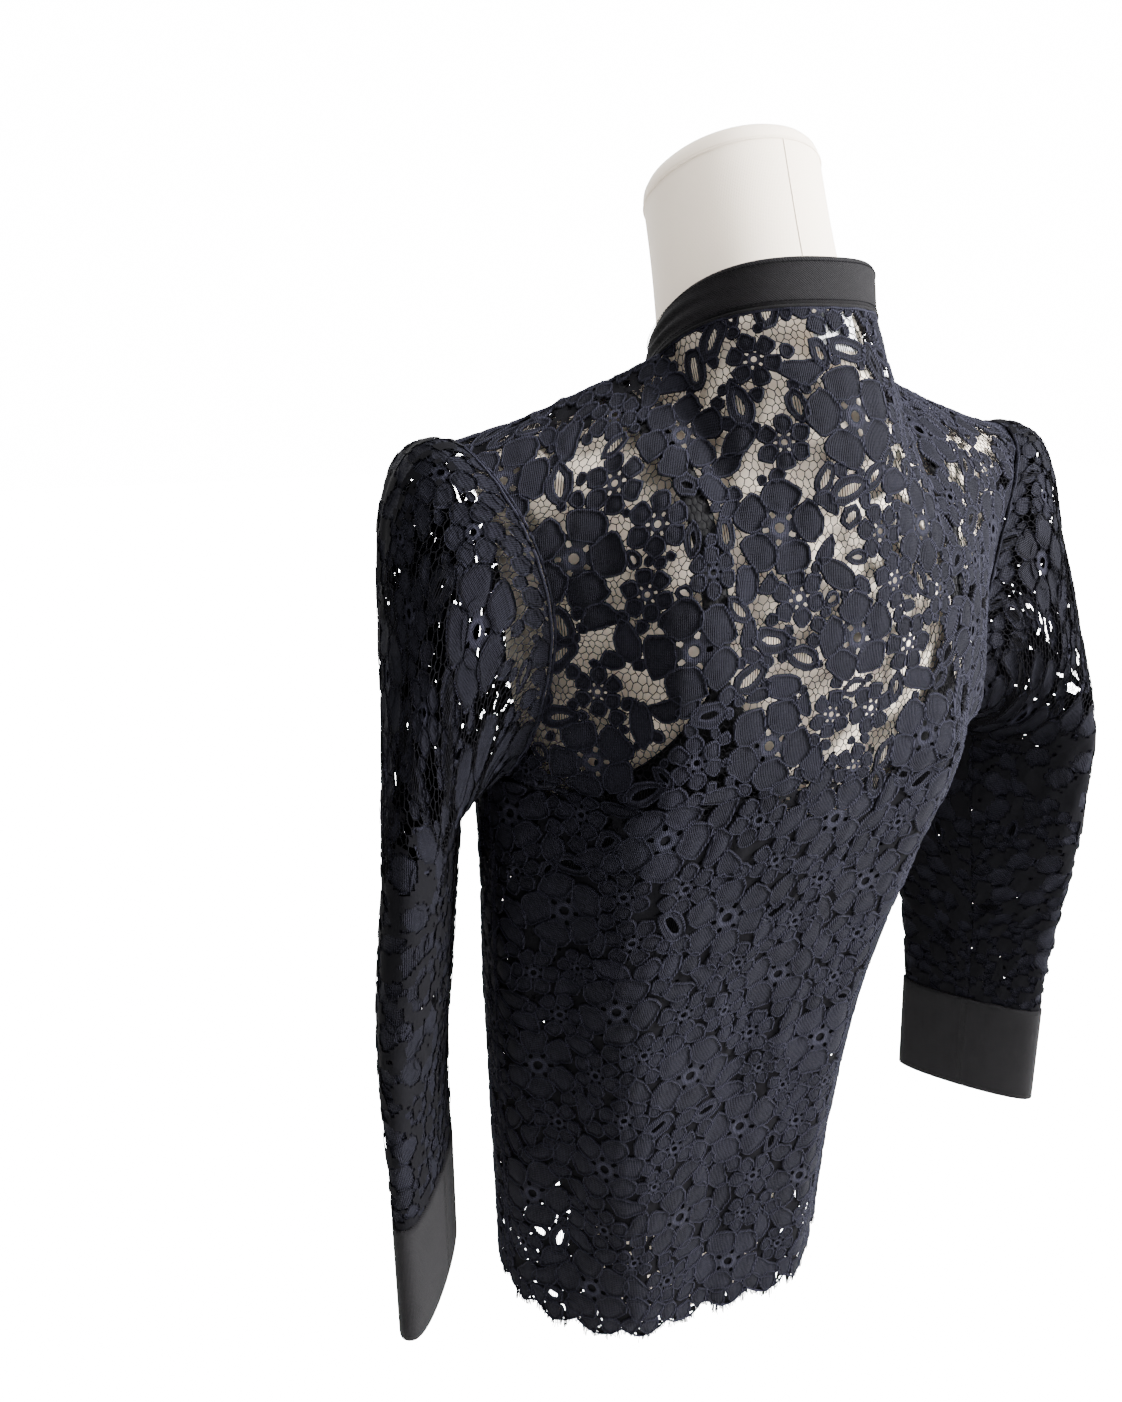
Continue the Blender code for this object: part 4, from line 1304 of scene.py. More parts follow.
@dataclass
class LacePattern:
    """The motifs of one lace piece and what they cover."""

    cloth: ClothMap
    seed: int
    hem: bool = False
    flower_radius: float = 27.0 * MM
    flower_across: float = 104.0 * MM
    flower_up: float = 58.0 * MM
    window_width: float = 150.0 * MM
    window_height: float = 176.0 * MM
    windows: tuple = (
        (12, 18, 5.5), (92, 34, 5.5), (128, 84, 6.0), (42, 96, 5.5), (86, 138, 6.0), (6, 150, 5.5),
        (60, 60, 5.5), (110, 12, 5.0), (24, 122, 5.5), (134, 128, 5.5), (70, 110, 5.0), (34, 52, 5.0),
        (118, 60, 4.5), (8, 84, 5.0), (64, 164, 5.0), (112, 104, 4.5), (54, 18, 4.5), (146, 4, 4.5),
        (20, 27, 4.0), (98, 43, 4.0), (120, 92, 4.0), (49, 87, 4.0), (92, 128, 4.0), (13, 142, 4.0),
        (68, 53, 4.0), (32, 128, 3.5), (126, 121, 3.5), (78, 104, 3.5), (27, 60, 3.5), (2, 92, 3.5),
        (74, 14, 4.0), (38, 150, 4.0), (104, 160, 4.0), (82, 78, 3.5), (140, 40, 4.0), (52, 134, 3.5),
    )
    yoke_from: float = 0.38
    yoke_fade: float = 0.06
    head_from: float = 0.15
    head_fade: float = 0.04
    closed_swell: float = 1.30
    open_swell: float = 0.92
    closed_window: float = 0.25
    open_window: float = 1.22
    closed_share: float = 0.975
    closed_slits: float = 0.10
    open_slits: float = 0.60
    smallest: float = 2.1 * MM
    most_fillers: int = 1600
    room_for_flower: float = 12.5 * MM
    room_for_leaf: float = 4.2 * MM
    widest_leaf: float = 7.6 * MM
    narrowest_slit_leaf: float = 4.6 * MM
    hem_petal_pitch: float = 13.5 * MM
    hem_petal_rise: float = 7.5 * MM
    hem_petal_length: float = 9.5 * MM
    hem_petal_width: float = 7.6 * MM
    cell: float = 2.0 * MM
    fine: float = 0.75 * MM
    scallops: int = 11
    scallop_depth: float = 9.0 * MM
    motifs: list[Motif] = field(default_factory=list)

    def __post_init__(self) -> None:
        """Lay the motifs out, largest first."""
        self.random = np.random.default_rng(self.seed)
        half = self.cloth.width / 2
        self.xs = np.arange(-half, half + self.cell, self.cell)
        self.ys = np.arange(0.0, self.cloth.length + self.cell, self.cell)
        self.free = np.full((len(self.ys), len(self.xs)), 1.0)
        outside = np.abs(self.xs)[None, :] > self.cloth.half_at(self.ys)[:, None] + 4 * MM
        self.free[outside] = -1.0
        self.hearts: list[Heart] = []
        self.place_windows()
        if self.hem:
            self.place_hem()
        self.place_flowers()
        self.fill()

    def stretch_at(self, across: float, up: float) -> float:
        """How long a step up the flat cloth is when worn."""
        value = self.cloth.spread(self.cloth.stretch, np.array([across]), np.array([up]))
        return float(np.clip(value[0], 0.4, 2.0))

    def hem_line(self, across: np.ndarray) -> np.ndarray:
        """Height of the scalloped hem on the flat cloth."""
        if not self.hem:
            return np.zeros(np.shape(across))
        share = np.asarray(across) / (2 * self.cloth.half[0]) + 0.5
        return self.scallop_depth * (0.5 - np.abs(np.sin(math.pi * self.scallops * share)))

    def take(self, across: float, up: float, radius: float) -> None:
        """Mark a disc as taken.

        Args:
            across: Its middle.
            up: Its middle.
            radius: Its radius.
        """
        stretch = self.stretch_at(across, up)
        away = np.hypot(self.xs[None, :] - across, (self.ys[:, None] - up) * stretch) - radius
        np.minimum(self.free, away, out=self.free)

    def put(self, motif: Motif) -> None:
        """Add a motif and mark its room as taken."""
        motif.lobes, motif.lobe_turn = int(self.random.integers(3, 6)), float(self.random.uniform(0, 6.28))
        self.motifs.append(motif)
        spare = motif.half_length - motif.half_width
        for share in (-1.0, -0.5, 0.0, 0.5, 1.0) if spare > 1 * MM else (0.0,):
            stretch = self.stretch_at(motif.across, motif.up)
            across = motif.across + math.cos(motif.turn) * spare * share
            up = motif.up + math.sin(motif.turn) * spare * share / stretch
            narrow = 1.0 if motif.shape is not Shape.LEAF else 1.0 - 0.45 * abs(share)
            self.take(across, up, motif.half_width * narrow)

    def place_windows(self) -> None:
        """Keep the repeat's net windows free of motifs."""
        for across in np.arange(-3, 4) * self.window_width:
            for up in np.arange(0, 5) * self.window_height:
                for x, y, radius in self.windows:
                    place = (across + x * MM, up + y * MM)
                    if place[1] < self.cloth.length and place[1] > 14 * MM:
                        self.take(*place, radius * self.window_share(*place) * MM)

    def place_hem(self) -> None:
        """A row of petals along the scallops."""
        half = float(self.cloth.half[0])
        reach, wide = self.hem_petal_length, self.hem_petal_width
        for across in np.linspace(-half + 7 * MM, half - 7 * MM, int(2 * half / self.hem_petal_pitch)):
            up = float(self.hem_line(across)) + self.hem_petal_rise
            turn = math.pi / 2 + self.random.normal(0, 0.15)
            self.put(Motif(Shape.DROP, float(across), up, reach, wide, turn, tone=self.tone()))

    def openness(self, across: np.ndarray | float, up: np.ndarray | float) -> np.ndarray | float:
        """How open the lace is: all of it at the yoke, over the back of a sleeve's head and none below.

        Args:
            across: Distances from the middle line.
            up: Distances up.

        Returns:
            Numbers from 0 to 1.
        """
        if self.hem:
            return np.clip((up - self.yoke_from) / self.yoke_fade, 0, 1)
        back = -across / self.cloth.half_at(up)
        return np.clip((self.head_from - up) / self.head_fade, 0, 1) * np.clip((back - 0.08) / 0.1, 0, 1)

    def swell(self, across: float, up: float) -> float:
        """How much the motifs are drawn larger, so that they close up where the lace isn't open."""
        return self.closed_swell + (self.open_swell - self.closed_swell) * self.openness(across, up)

    def window_share(self, across: float, up: float) -> float:
        """Share of a window's size that is kept at a place."""
        return self.closed_window + (self.open_window - self.closed_window) * self.openness(across, up)

    def grounded(self, places: np.ndarray) -> np.ndarray:
        """Where the gaps between the motifs are closely worked instead of netted.

        Args:
            places: Flat places.

        Returns:
            True for each place that is worked closed.
        """
        x, y = places[..., 0] * 1000, places[..., 1] * 1000
        share = self.closed_share * (1 - self.openness(places[..., 0], places[..., 1]))
        if self.hem:
            top = self.cloth.length * 1000
            share += 0.8 * np.clip((np.abs(x) - 95) / 40, 0, 1) * np.clip((y - top + 45) / 25, 0, 1)
        else:
            share = share * (0.94 + 0.05 * np.clip(y / 120, 0, 1) + 0.06 * (x > 0))
        patches = np.sin(x / 2.9 + 2.0 * np.sin(y / 7)) * np.sin(y / 2.6 + 2.0 * np.sin(x / 6))
        return 0.5 + 0.5 * patches < share

    def tone(self) -> float:
        """A motif's own tone."""
        return float(self.random.uniform(0.15, 0.95))

    def place_flowers(self) -> None:
        """The large flowers, in a brick layout."""
        rows = int(self.cloth.length / self.flower_up) + 1
        for row in range(rows):
            for column in range(-3, 4):
                across = (column + 0.5 * (row % 2)) * self.flower_across + self.random.normal(0, 4 * MM)
                up = (row + 0.55) * self.flower_up + self.random.normal(0, 3 * MM)
                if abs(across) > self.cloth.half_at(up) + 10 * MM or up > self.cloth.length:
                    continue
                count = 5 if self.random.random() < 0.6 else 6
                self.flower(across, up, self.flower_radius * self.random.uniform(0.92, 1.05), count)

    def flower(self, across: float, up: float, radius: float, count: int) -> None:
        """Petals round a hole.

        Args:
            across: The flower's middle.
            up: The flower's middle.
            radius: From its middle to a petal's end.
            count: The number of petals.
        """
        stretch = self.stretch_at(across, up)
        start = self.random.uniform(0, 2 * math.pi)
        reach = radius * 0.66
        half_length = radius * 0.37
        half_width = reach * math.tan(math.pi / count) * 1.02
        tone = self.tone()
        for k in range(count):
            turn = start + 2 * math.pi * k / count + self.random.normal(0, 0.04)
            x = across + math.cos(turn) * reach
            y = up + math.sin(turn) * reach / stretch
            length = half_length * self.random.uniform(0.94, 1.08)
            lift = 0.22 * MM * (k % 2)
            shade = tone * 0.7 + self.tone() * 0.3
            lobe_turn = float(self.random.uniform(0, 6.28))
            self.motifs.append(
                Motif(Shape.PETAL, x, y, length, half_width, turn, lift, 0.0, shade, 4, lobe_turn)
            )
        self.hearts.append(Heart(across, up, radius, count, start + math.pi / count, tone))
        self.take(across, up, radius * 0.97)

    def fill(self) -> None:
        """Fill what is left, always at the roomiest place."""
        liking = self.random.uniform(0.8, 1.2, self.free.shape)
        across, up = np.meshgrid(self.xs, self.ys)
        need = self.smallest * (1.4 - 0.4 * self.openness(across, up))
        for _ in range(self.most_fillers):
            row, column = np.unravel_index(np.argmax(self.free / need * liking), self.free.shape)
            room = float(self.free[row, column])
            if room < need[row, column]:
                break
            across, up = float(self.xs[column]), float(self.ys[row])
            if room > self.room_for_flower:
                self.flower(across, up, min(room * 1.08, 17 * MM), 6)
                self.take(across, up, 9 * MM)
            elif room > self.room_for_leaf:
                self.leaf(across, up, room)
            else:
                size = room * self.random.uniform(1.2, 1.45) * self.swell(across, up)
                turn = self.random.uniform(0, math.pi)
                tone = self.tone()
                self.put(Motif(Shape.PETAL, across, up, size * 1.1, size, turn, 0.15 * MM, tone=tone))

    def leaf(self, across: float, up: float, room: float) -> None:
        """A leaf or a petal turned along the room that there is.

        Args:
            across: Its middle.
            up: Its middle.
            room: Free distance round its middle.
        """
        width = min(room * 1.12 * self.swell(across, up), self.widest_leaf)
        best, turn = -1.0, 0.0
        stretch = self.stretch_at(across, up)
        for trial in np.arange(8) * math.pi / 8 + self.random.uniform(0, 0.3):
            ends = []
            for sign in (-1, 1):
                x = across + sign * math.cos(trial) * width * 1.4
                y = up + sign * math.sin(trial) * width * 1.4 / stretch
                i = int(np.clip(round(y / self.cell), 0, len(self.ys) - 1))
                j = int(np.clip(round((x - self.xs[0]) / self.cell), 0, len(self.xs) - 1))
                ends.append(self.free[i, j])
            if min(ends) > best:
                best, turn = min(ends), float(trial)
        long_leaf = best > 0.5 * MM
        length = width * (self.random.uniform(1.55, 1.95) if long_leaf else self.random.uniform(1.05, 1.25))
        shape = Shape.LEAF if long_leaf else Shape.PETAL
        often = self.closed_slits + (self.open_slits - self.closed_slits) * self.openness(across, up)
        slit = 0.0
        if width > self.narrowest_slit_leaf:
            slit = float(self.random.choice([0.0, 0.42, 0.55], p=[1 - often, often / 2, often / 2]))
        leaf = Motif(shape, across, up, length, width, turn, 0.1 * MM, slit, self.tone())
        leaf.bend = float(self.random.uniform(-0.75, 0.75)) if slit == 0.0 else 0.0
        self.put(leaf)

    def covered(self, with_hearts: bool) -> Cover:
        """The flat places that the motifs cover.

        Args:
            with_hearts: Whether the flowers' middles count too.

        Returns:
            Their raster.
        """
        half = self.cloth.width / 2
        xs = np.arange(-half, half + self.fine, self.fine)
        ys = np.arange(-self.scallop_depth, self.cloth.length + self.fine, self.fine)
        cover = np.zeros((len(ys), len(xs)), bool)
        for motif in self.motifs:
            stretch = self.stretch_at(motif.across, motif.up)
            reach = max(motif.half_length, motif.half_width) * 1.1
            i0, i1 = np.searchsorted(ys, (motif.up - reach / stretch, motif.up + reach / stretch))
            j0, j1 = np.searchsorted(xs, (motif.across - reach, motif.across + reach))
            if i0 >= i1 or j0 >= j1:
                continue
            x = xs[None, j0:j1] - motif.across
            y = (ys[i0:i1, None] - motif.up) * stretch
            cover[i0:i1, j0:j1] |= motif.covers(x, y)
        for heart in self.hearts if with_hearts else []:
            stretch = self.stretch_at(heart.across, heart.up)
            away = np.hypot(xs[None, :] - heart.across, (ys[:, None] - heart.up) * stretch)
            cover |= away < heart.radius * 0.5
        cover |= ys[:, None] < self.hem_line(xs)[None, :]
        return Cover(xs, ys, cover)


@dataclass
class LacePiece:
    """A worn piece of corded lace: its motifs and its net."""

    name: str
    grid: np.ndarray
    outwards: int
    nodes: tuple[str, ...]
    rests_on: tuple[str, ...]
    seed: int
    wardrobe: Wardrobe
    hem: bool = False
    point_spacing: float = 2.6 * MM
    fewest_points: int = 10
    most_points: int = 19
    sink: float = 0.7 * MM
    net_sink: float = 1.0 * MM
    thread: float = 0.28 * MM
    net_across: float = 4.1 * MM
    net_half_height: float = 2.75 * MM
    net_shoulder: float = 1.2 * MM
    cord_foot: float = 1.9 * MM
    cord_crest: float = 0.9 * MM
    cord_height: float = 1.25 * MM
    dome: float = 0.85 * MM
    ground_cell: float = 2.4 * MM
    slit_thread_pitch: float = 1.5 * MM
    seam_radius: float = 0.95 * MM
    seam_inset: float = 1.0 * MM
    hem_cord_radius: float = 0.75 * MM
    eyelashes: int = 620
    eyelash_radius: float = 0.32 * MM

    def __post_init__(self) -> None:
        """Lay the piece flat and lay out its motifs."""
        self.cloth = ClothMap(self.grid, self.outwards)
        self.pattern = LacePattern(self.cloth, self.seed, self.hem)
        self.motifs = MeshMaker()
        self.threads = MeshMaker()

    def build(self) -> None:
        """Build the motifs' object and the net's."""
        for motif in self.pattern.motifs:
            self.add_motif(motif)
        for heart in self.pattern.hearts:
            self.add_heart(heart)
        self.add_net()
        self.add_ground()
        self.add_seams()
        if self.hem:
            self.add_hem()
        flowers = self.motifs.piece(f"{self.name}_lace", self.wardrobe.lace)
        net = self.threads.piece(f"{self.name}_net", self.wardrobe.net)
        declare([flowers, net], self.nodes)
        LOG.info("%s: %d motifs", self.name, len(self.pattern.motifs))

    def clipped(self, flat: np.ndarray) -> np.ndarray:
        """Flat places drawn back to the cloth's edges.

        Args:
            flat: Flat places.

        Returns:
            The places inside the piece.
        """
        edge = SEAM_GAP / 2
        up = np.clip(flat[:, 1], -self.pattern.scallop_depth, self.cloth.length - edge)
        half = self.cloth.half_at(up) - edge
        across = np.clip(flat[:, 0], -half, half)
        return np.stack([across, np.maximum(up, self.pattern.hem_line(across))], axis=1)

    def add_motif(self, motif: Motif) -> None:
        """Add one petal or leaf, with its raised cord and its slit's threads.

        Args:
            motif: The motif.
        """
        stretch = self.pattern.stretch_at(motif.across, motif.up)
        around = math.pi * (motif.half_length + motif.half_width)
        count = int(np.clip(around / self.point_spacing, self.fewest_points, self.most_points))
        small = count < self.most_points
        outline = motif.outline(count)
        size = min(motif.half_width / (8 * MM), 1.0)
        reach = np.linalg.norm(outline, axis=1)
        way = outline / reach[:, None]
        reach = reach + self.pattern.random.normal(0, 0.26 * MM * size, count)
        foot = np.minimum(self.cord_foot, reach * 0.45)
        crest = np.minimum(self.cord_crest, reach * 0.22)
        edge = way * (reach - foot)[:, None]
        # Each ring's third number is its cord number: a painted highlight on the crest and the slit's raised
        # ring, painted shade on the edge and the sunken rim
        if motif.slit:
            slit = outline * (motif.slit, motif.slit * 0.62)
            rings = [
                (slit, 0.0, 0.4),
                (slit + (edge - slit) * 0.2, 0.5 * self.cord_height, 0.75),
                (slit + (edge - slit) * 0.55, self.dome * size * 0.6, 0.3),
            ]
        else:
            middle = (edge * 0.68, self.dome * size * 0.8, 0.3)
            rings = [middle] if small else [(edge * 0.32, self.dome * size, 0.3), middle]
        rings += [
            (edge, 0.0, 0.1),
            (way * (reach - crest)[:, None], self.cord_height * (0.7 + 0.3 * size), 1.0),
            (way * reach[:, None], -0.25 * MM, 0.0),
        ]
        local = np.concatenate([places for places, _, _ in rings])
        lift = np.repeat([height for _, height, _ in rings], count) + motif.lift - self.sink
        cords = np.repeat([cord for _, _, cord in rings], count)
        flat = self.clipped(motif.on_cloth(local, stretch))
        faces = with_area(grid_faces(len(rings), count, True), flat)[:, :: -self.outwards]
        if len(faces) == 0:
            return
        caps = None
        core = flat[:count]
        if not motif.slit and np.ptp(core[:, 0]) > 0.5 * MM and np.ptp(core[:, 1]) > 0.5 * MM:
            caps = np.array([np.arange(count)[:: self.outwards]])
        self.motifs.add(self.cloth.worn(flat, lift), faces, flat, cords, motif.tone, caps)
        if motif.slit and motif.half_width > 5 * MM:
            self.add_slit_threads(motif, stretch)

    def add_heart(self, heart: Heart) -> None:
        """Add a flower's middle.

        Args:
            heart: The flower's middle.
        """
        local, heights, cords, faces = heart.rings()
        stretch = self.pattern.stretch_at(heart.across, heart.up)
        flat = self.clipped(np.array((heart.across, heart.up)) + local / (1.0, stretch))
        faces = with_area(faces, flat)[:, :: -self.outwards]
        lift = heights - self.sink + 0.25 * MM
        self.motifs.add(self.cloth.worn(flat, lift), faces, flat, cords, heart.tone)

    def add_slit_threads(self, motif: Motif, stretch: float) -> None:
        """Upright threads across a slit.

        Args:
            motif: The motif with the slit.
            stretch: How long a step up is when worn.
        """
        cos, sin = abs(math.cos(motif.turn)), abs(math.sin(motif.turn))
        reach, over = motif.half_length * motif.slit, motif.half_width * motif.slit
        wide, tall = cos * reach + sin * over, sin * reach + cos * over
        slope = math.tan(motif.turn) if sin > 0.5 and cos > 0.3 * sin else 0.0
        offsets = np.arange(-wide * 0.75, wide * 0.76, self.slit_thread_pitch)
        rises = tall * 1.1 * np.sqrt(np.maximum(1 - (offsets / wide) ** 2, 0.05))
        across = motif.across + offsets
        starts = np.stack([across, motif.up + (offsets * slope - rises) / stretch], axis=1)
        ends = np.stack([across, motif.up + (offsets * slope + rises) / stretch], axis=1)
        self.add_threads(starts, ends, self.net_sink - 0.2 * MM)

    def add_threads(self, starts: np.ndarray, ends: np.ndarray, sink: float) -> None:
        """Three-sided threads between flat places.

        Args:
            starts: One end of each.
            ends: The other end of each.
            sink: How far below the outer face they lie.
        """
        starts, ends = self.clipped(starts), self.clipped(ends)
        long_enough = np.linalg.norm(ends - starts, axis=1) > 0.4 * MM
        starts, ends = starts[long_enough], ends[long_enough]
        if len(starts) == 0:
            return
        low, high = self.cloth.worn(starts, -sink), self.cloth.worn(ends, -sink)
        normal = self.cloth.worn(starts, 1.0) - self.cloth.worn(starts, 0.0)
        along = (high - low) / np.linalg.norm(high - low, axis=1, keepdims=True)
        beside = np.cross(along, normal)
        beside /= np.linalg.norm(beside, axis=1, keepdims=True)
        corners = []
        for place in (low, high):
            for turn in (math.pi / 2, math.pi * 7 / 6, math.pi * 11 / 6):
                corners.append(place + (normal * math.sin(turn) + beside * math.cos(turn)) * self.thread)
        points = np.stack(corners, axis=1).reshape(-1, 3)
        quads = np.array([(0, 1, 4, 3), (1, 2, 5, 4), (2, 0, 3, 5)])
        faces = (np.arange(len(low))[:, None, None] * 6 + quads).reshape(-1, 4)
        self.threads.add(points, faces, np.repeat(starts, 6, axis=0), 0.5)

    def add_net(self) -> None:
        """Six-sided net wherever no motif lies."""
        cloth, pattern = self.cloth, self.pattern
        cover = pattern.covered(True)
        pitch = self.net_half_height + self.net_shoulder
        rows = int(cloth.length / pitch) + 3
        columns = int(cloth.width / self.net_across) + 4
        i, j = np.meshgrid(np.arange(-2, rows), np.arange(-columns // 2, columns // 2 + 1), indexing="ij")
        x = (j + 0.5 * (i % 2)) * self.net_across
        y = i * pitch
        tip = np.stack([x, y + self.net_half_height], axis=-1).reshape(-1, 2)
        right = np.stack([x + self.net_across / 2, y + self.net_shoulder], axis=-1).reshape(-1, 2)
        left = right - (self.net_across, 0)
        below = right - (0, 2 * self.net_shoulder)
        starts = self.drawn(np.concatenate([tip, tip, right]))
        ends = self.drawn(np.concatenate([right, left, below]))
        inside = np.zeros(len(starts), bool)
        for share in (0.0, 0.5, 1.0):
            place = starts + (ends - starts) * share
            shown = ~cover.at(place) & ~pattern.grounded(place)
            shown &= np.abs(place[:, 0]) < cloth.half_at(place[:, 1])
            shown &= (place[:, 1] < cloth.length) & (place[:, 1] > -pattern.scallop_depth)
            inside |= shown
        self.add_threads(starts[inside], ends[inside], self.net_sink)

    def add_ground(self) -> None:
        """The closely worked ground between the motifs."""
        cloth, pattern = self.cloth, self.pattern
        cover = pattern.covered(False)
        columns = int(cloth.width / self.ground_cell) + 2
        rows = int((cloth.length + pattern.scallop_depth) / self.ground_cell) + 2
        i, j = np.meshgrid(np.arange(rows), np.arange(columns), indexing="ij")
        across = (j - (columns - 1) / 2) * self.ground_cell
        flat = np.stack([across, i * self.ground_cell - pattern.scallop_depth], axis=-1).reshape(-1, 2)
        flat += pattern.random.normal(0, 0.25 * MM, flat.shape)
        faces = grid_faces(rows, columns, False)
        corners = flat[faces]
        middles = corners.mean(axis=1)
        bare = np.zeros(len(faces), bool)
        for place in (*np.moveaxis(corners, 1, 0), middles):
            bare |= ~cover.at(place)
        inside = np.abs(middles[:, 0]) < cloth.half_at(middles[:, 1])
        inside &= (middles[:, 1] < cloth.length) & (middles[:, 1] > pattern.hem_line(middles[:, 0]))
        faces = faces[bare & inside & pattern.grounded(middles)][:, :: -self.outwards]
        used, faces = np.unique(faces, return_inverse=True)
        flat = self.clipped(flat[used])
        points = cloth.worn(flat, -self.net_sink - 0.3 * MM)
        self.threads.add(points, faces.reshape(-1, 4), flat, 0.2)

    def add_seams(self) -> None:
        """The seam ridges along the piece's edges: sides and top, or a sleeve's head."""
        cloth = self.cloth
        lines = []
        if self.hem:
            ups = np.linspace(4 * MM, cloth.length - 0.5 * MM, 180)
            for sign in (-1, 1):
                lines.append(np.stack([sign * (cloth.half_at(ups) - self.seam_inset), ups], axis=1))
        level = cloth.length - self.seam_inset if self.hem else self.seam_inset
        half = cloth.half_at(level) - self.seam_inset
        shares = np.linspace(-half, half, 160)
        lines.append(np.stack([shares, np.full(len(shares), level)], axis=1))
        for line in lines:
            add_tube(self.motifs, cloth.worn(line, -self.sink + 0.3 * MM), self.seam_radius, 5)

    def drawn(self, places: np.ndarray) -> np.ndarray:
        """Net points drawn a little out of line, alike for alike places."""
        x, y = places[:, 0], places[:, 1]
        dx = np.sin(x * 931 + y * 517) * 0.45 + np.sin(x * 170 - y * 310) * 0.8
        dy = np.sin(x * 613 - y * 877) * 0.45 + np.sin(y * 210 + x * 140) * 0.8
        return places + np.stack([dx, dy], axis=1) * MM

    def add_hem(self) -> None:
        """The cord and the eyelash threads along the scalloped hem."""
        cloth, pattern = self.cloth, self.pattern
        half = float(cloth.half[0]) - SEAM_GAP
        across = np.linspace(-half, half, 260)
        line = np.stack([across, pattern.hem_line(across) + 0.3 * MM], axis=1)
        add_tube(self.motifs, cloth.worn(line, -self.sink + 0.2 * MM), self.hem_cord_radius, 6)
        count = self.eyelashes
        roots = np.sort(pattern.random.uniform(-half + MM, half - MM, count))
        starts = np.stack([roots, pattern.hem_line(roots) + 0.5 * MM], axis=1)
        tufts = np.clip(np.sin(roots * 310) + np.sin(roots * 830 + 1.0), 0, 2)
        lengths = (pattern.random.uniform(2.0, 5.0, count) + 3.0 * tufts) * MM
        leans = pattern.random.normal(0, 0.9 * MM, count)
        low = cloth.worn(starts, -self.sink)
        tips = starts + np.stack([leans, -lengths], axis=1)
        high = cloth.worn(tips, -self.sink + pattern.random.normal(0, 0.5 * MM, count))
        for start, end in zip(low, high):
            add_tube(self.threads, np.array([start, (start + end) / 2, end]), self.eyelash_radius, 3)


def sleeve_grid(hand: Hand, edges: dict[Side, np.ndarray]) -> np.ndarray:
    """Rings of a sleeve from the armhole over the gathered head down to the wrist.

    Args:
        hand: Left or right.
        edges: The armhole edges of the back and the front, from the underarm up.

    Returns:
        Rows of points, the first column repeated at the end.
    """
    columns = SLEEVE_COLUMNS
    back = even_steps(edges[Side.BACK] * (hand.value, 1, 1), columns // 2)
    front = even_steps(edges[Side.FRONT] * (hand.value, 1, 1), columns // 2)
    start = np.concatenate([back, front[1:-1][::-1]])
    upper = SLEEVE_RINGS[0].height
    end = flat_ring(ring_at(upper), upper, columns)
    middle = start.mean(axis=0)
    highness = (start[:, 2:3] - UNDERARM_HEIGHT) / (LACE_YOKE.shoulder_height - UNDERARM_HEIGHT)
    forward = 0.12 * np.sign(start[:, 1:2])
    outward = np.concatenate([np.ones_like(highness), forward, -0.45 + 0.80 * highness], axis=1)
    reach = SLEEVE_PUFF * (0.32 + 0.68 * highness)
    first = start + outward * SEAM_GAP * 2.0
    drop = np.concatenate([0 * highness, 0 * highness, (start[:, 2:3] - upper) * 0.42], axis=1)
    turns = 2 * np.pi * np.arange(columns)[:, None] / columns
    wave = np.cos(GATHERS * turns) + 0.5 * np.cos(3.1 * GATHERS * turns + 1.0)
    rows = []
    for u in np.linspace(0, 1, SLEEVE_HEAD_ROWS + 1):
        ring = bezier(first, first + outward * reach * 1.25, end + drop, end, u)
        swell = np.sin(np.pi * min(u * 1.3, 1.0))
        away = (ring - middle) * (0, 1, 1)
        away /= np.maximum(np.linalg.norm(away, axis=1, keepdims=True), 1e-9)
        rows.append(ring + away * GATHER_DEPTH * wave * np.clip(highness, 0, 1) ** 2 * swell)
    for height in np.linspace(upper, SLEEVE_RINGS[-1].height, SLEEVE_ARM_ROWS + 1)[1:]:
        rows.append(flat_ring(ring_at(height), height, columns))
    grid = np.array(rows) * (hand.value, 1, 1)
    return np.concatenate([grid, grid[:, :1]], axis=1)


@dataclass
class Blouse:
    """The lace body and sleeves."""

    wardrobe: Wardrobe
    body_seeds: tuple[int, int] = (11, 12)
    sleeve_seeds: tuple[int, int] = (13, 14)

    def build(self) -> dict[Side, np.ndarray]:
        """Build the lace pieces.

        Returns:
            The outer grids of the back and front.
        """
        grids = {side: lace_surface(side) for side in Side}
        for side, seed in zip(Side, self.body_seeds):
            name, turn = side.name.lower(), -side.value
            piece = LacePiece(name, grids[side], turn, (name,), ("form_body",), seed, self.wardrobe, True)
            piece.build()
        for hand, seed in zip(Hand, self.sleeve_seeds):
            column = -1 if hand is Hand.LEFT else 0
            edges = {side: grids[side][ROWS_TO_UNDERARM:, column] for side in Side}
            grid = sleeve_grid(hand, edges)
            name, turn = f"sleeve_{hand.word}", -hand.value
            nodes = (f"{name}_back", f"{name}_front")
            LacePiece(name, grid, turn, nodes, ("back", "front"), seed, self.wardrobe).build()
        return grids


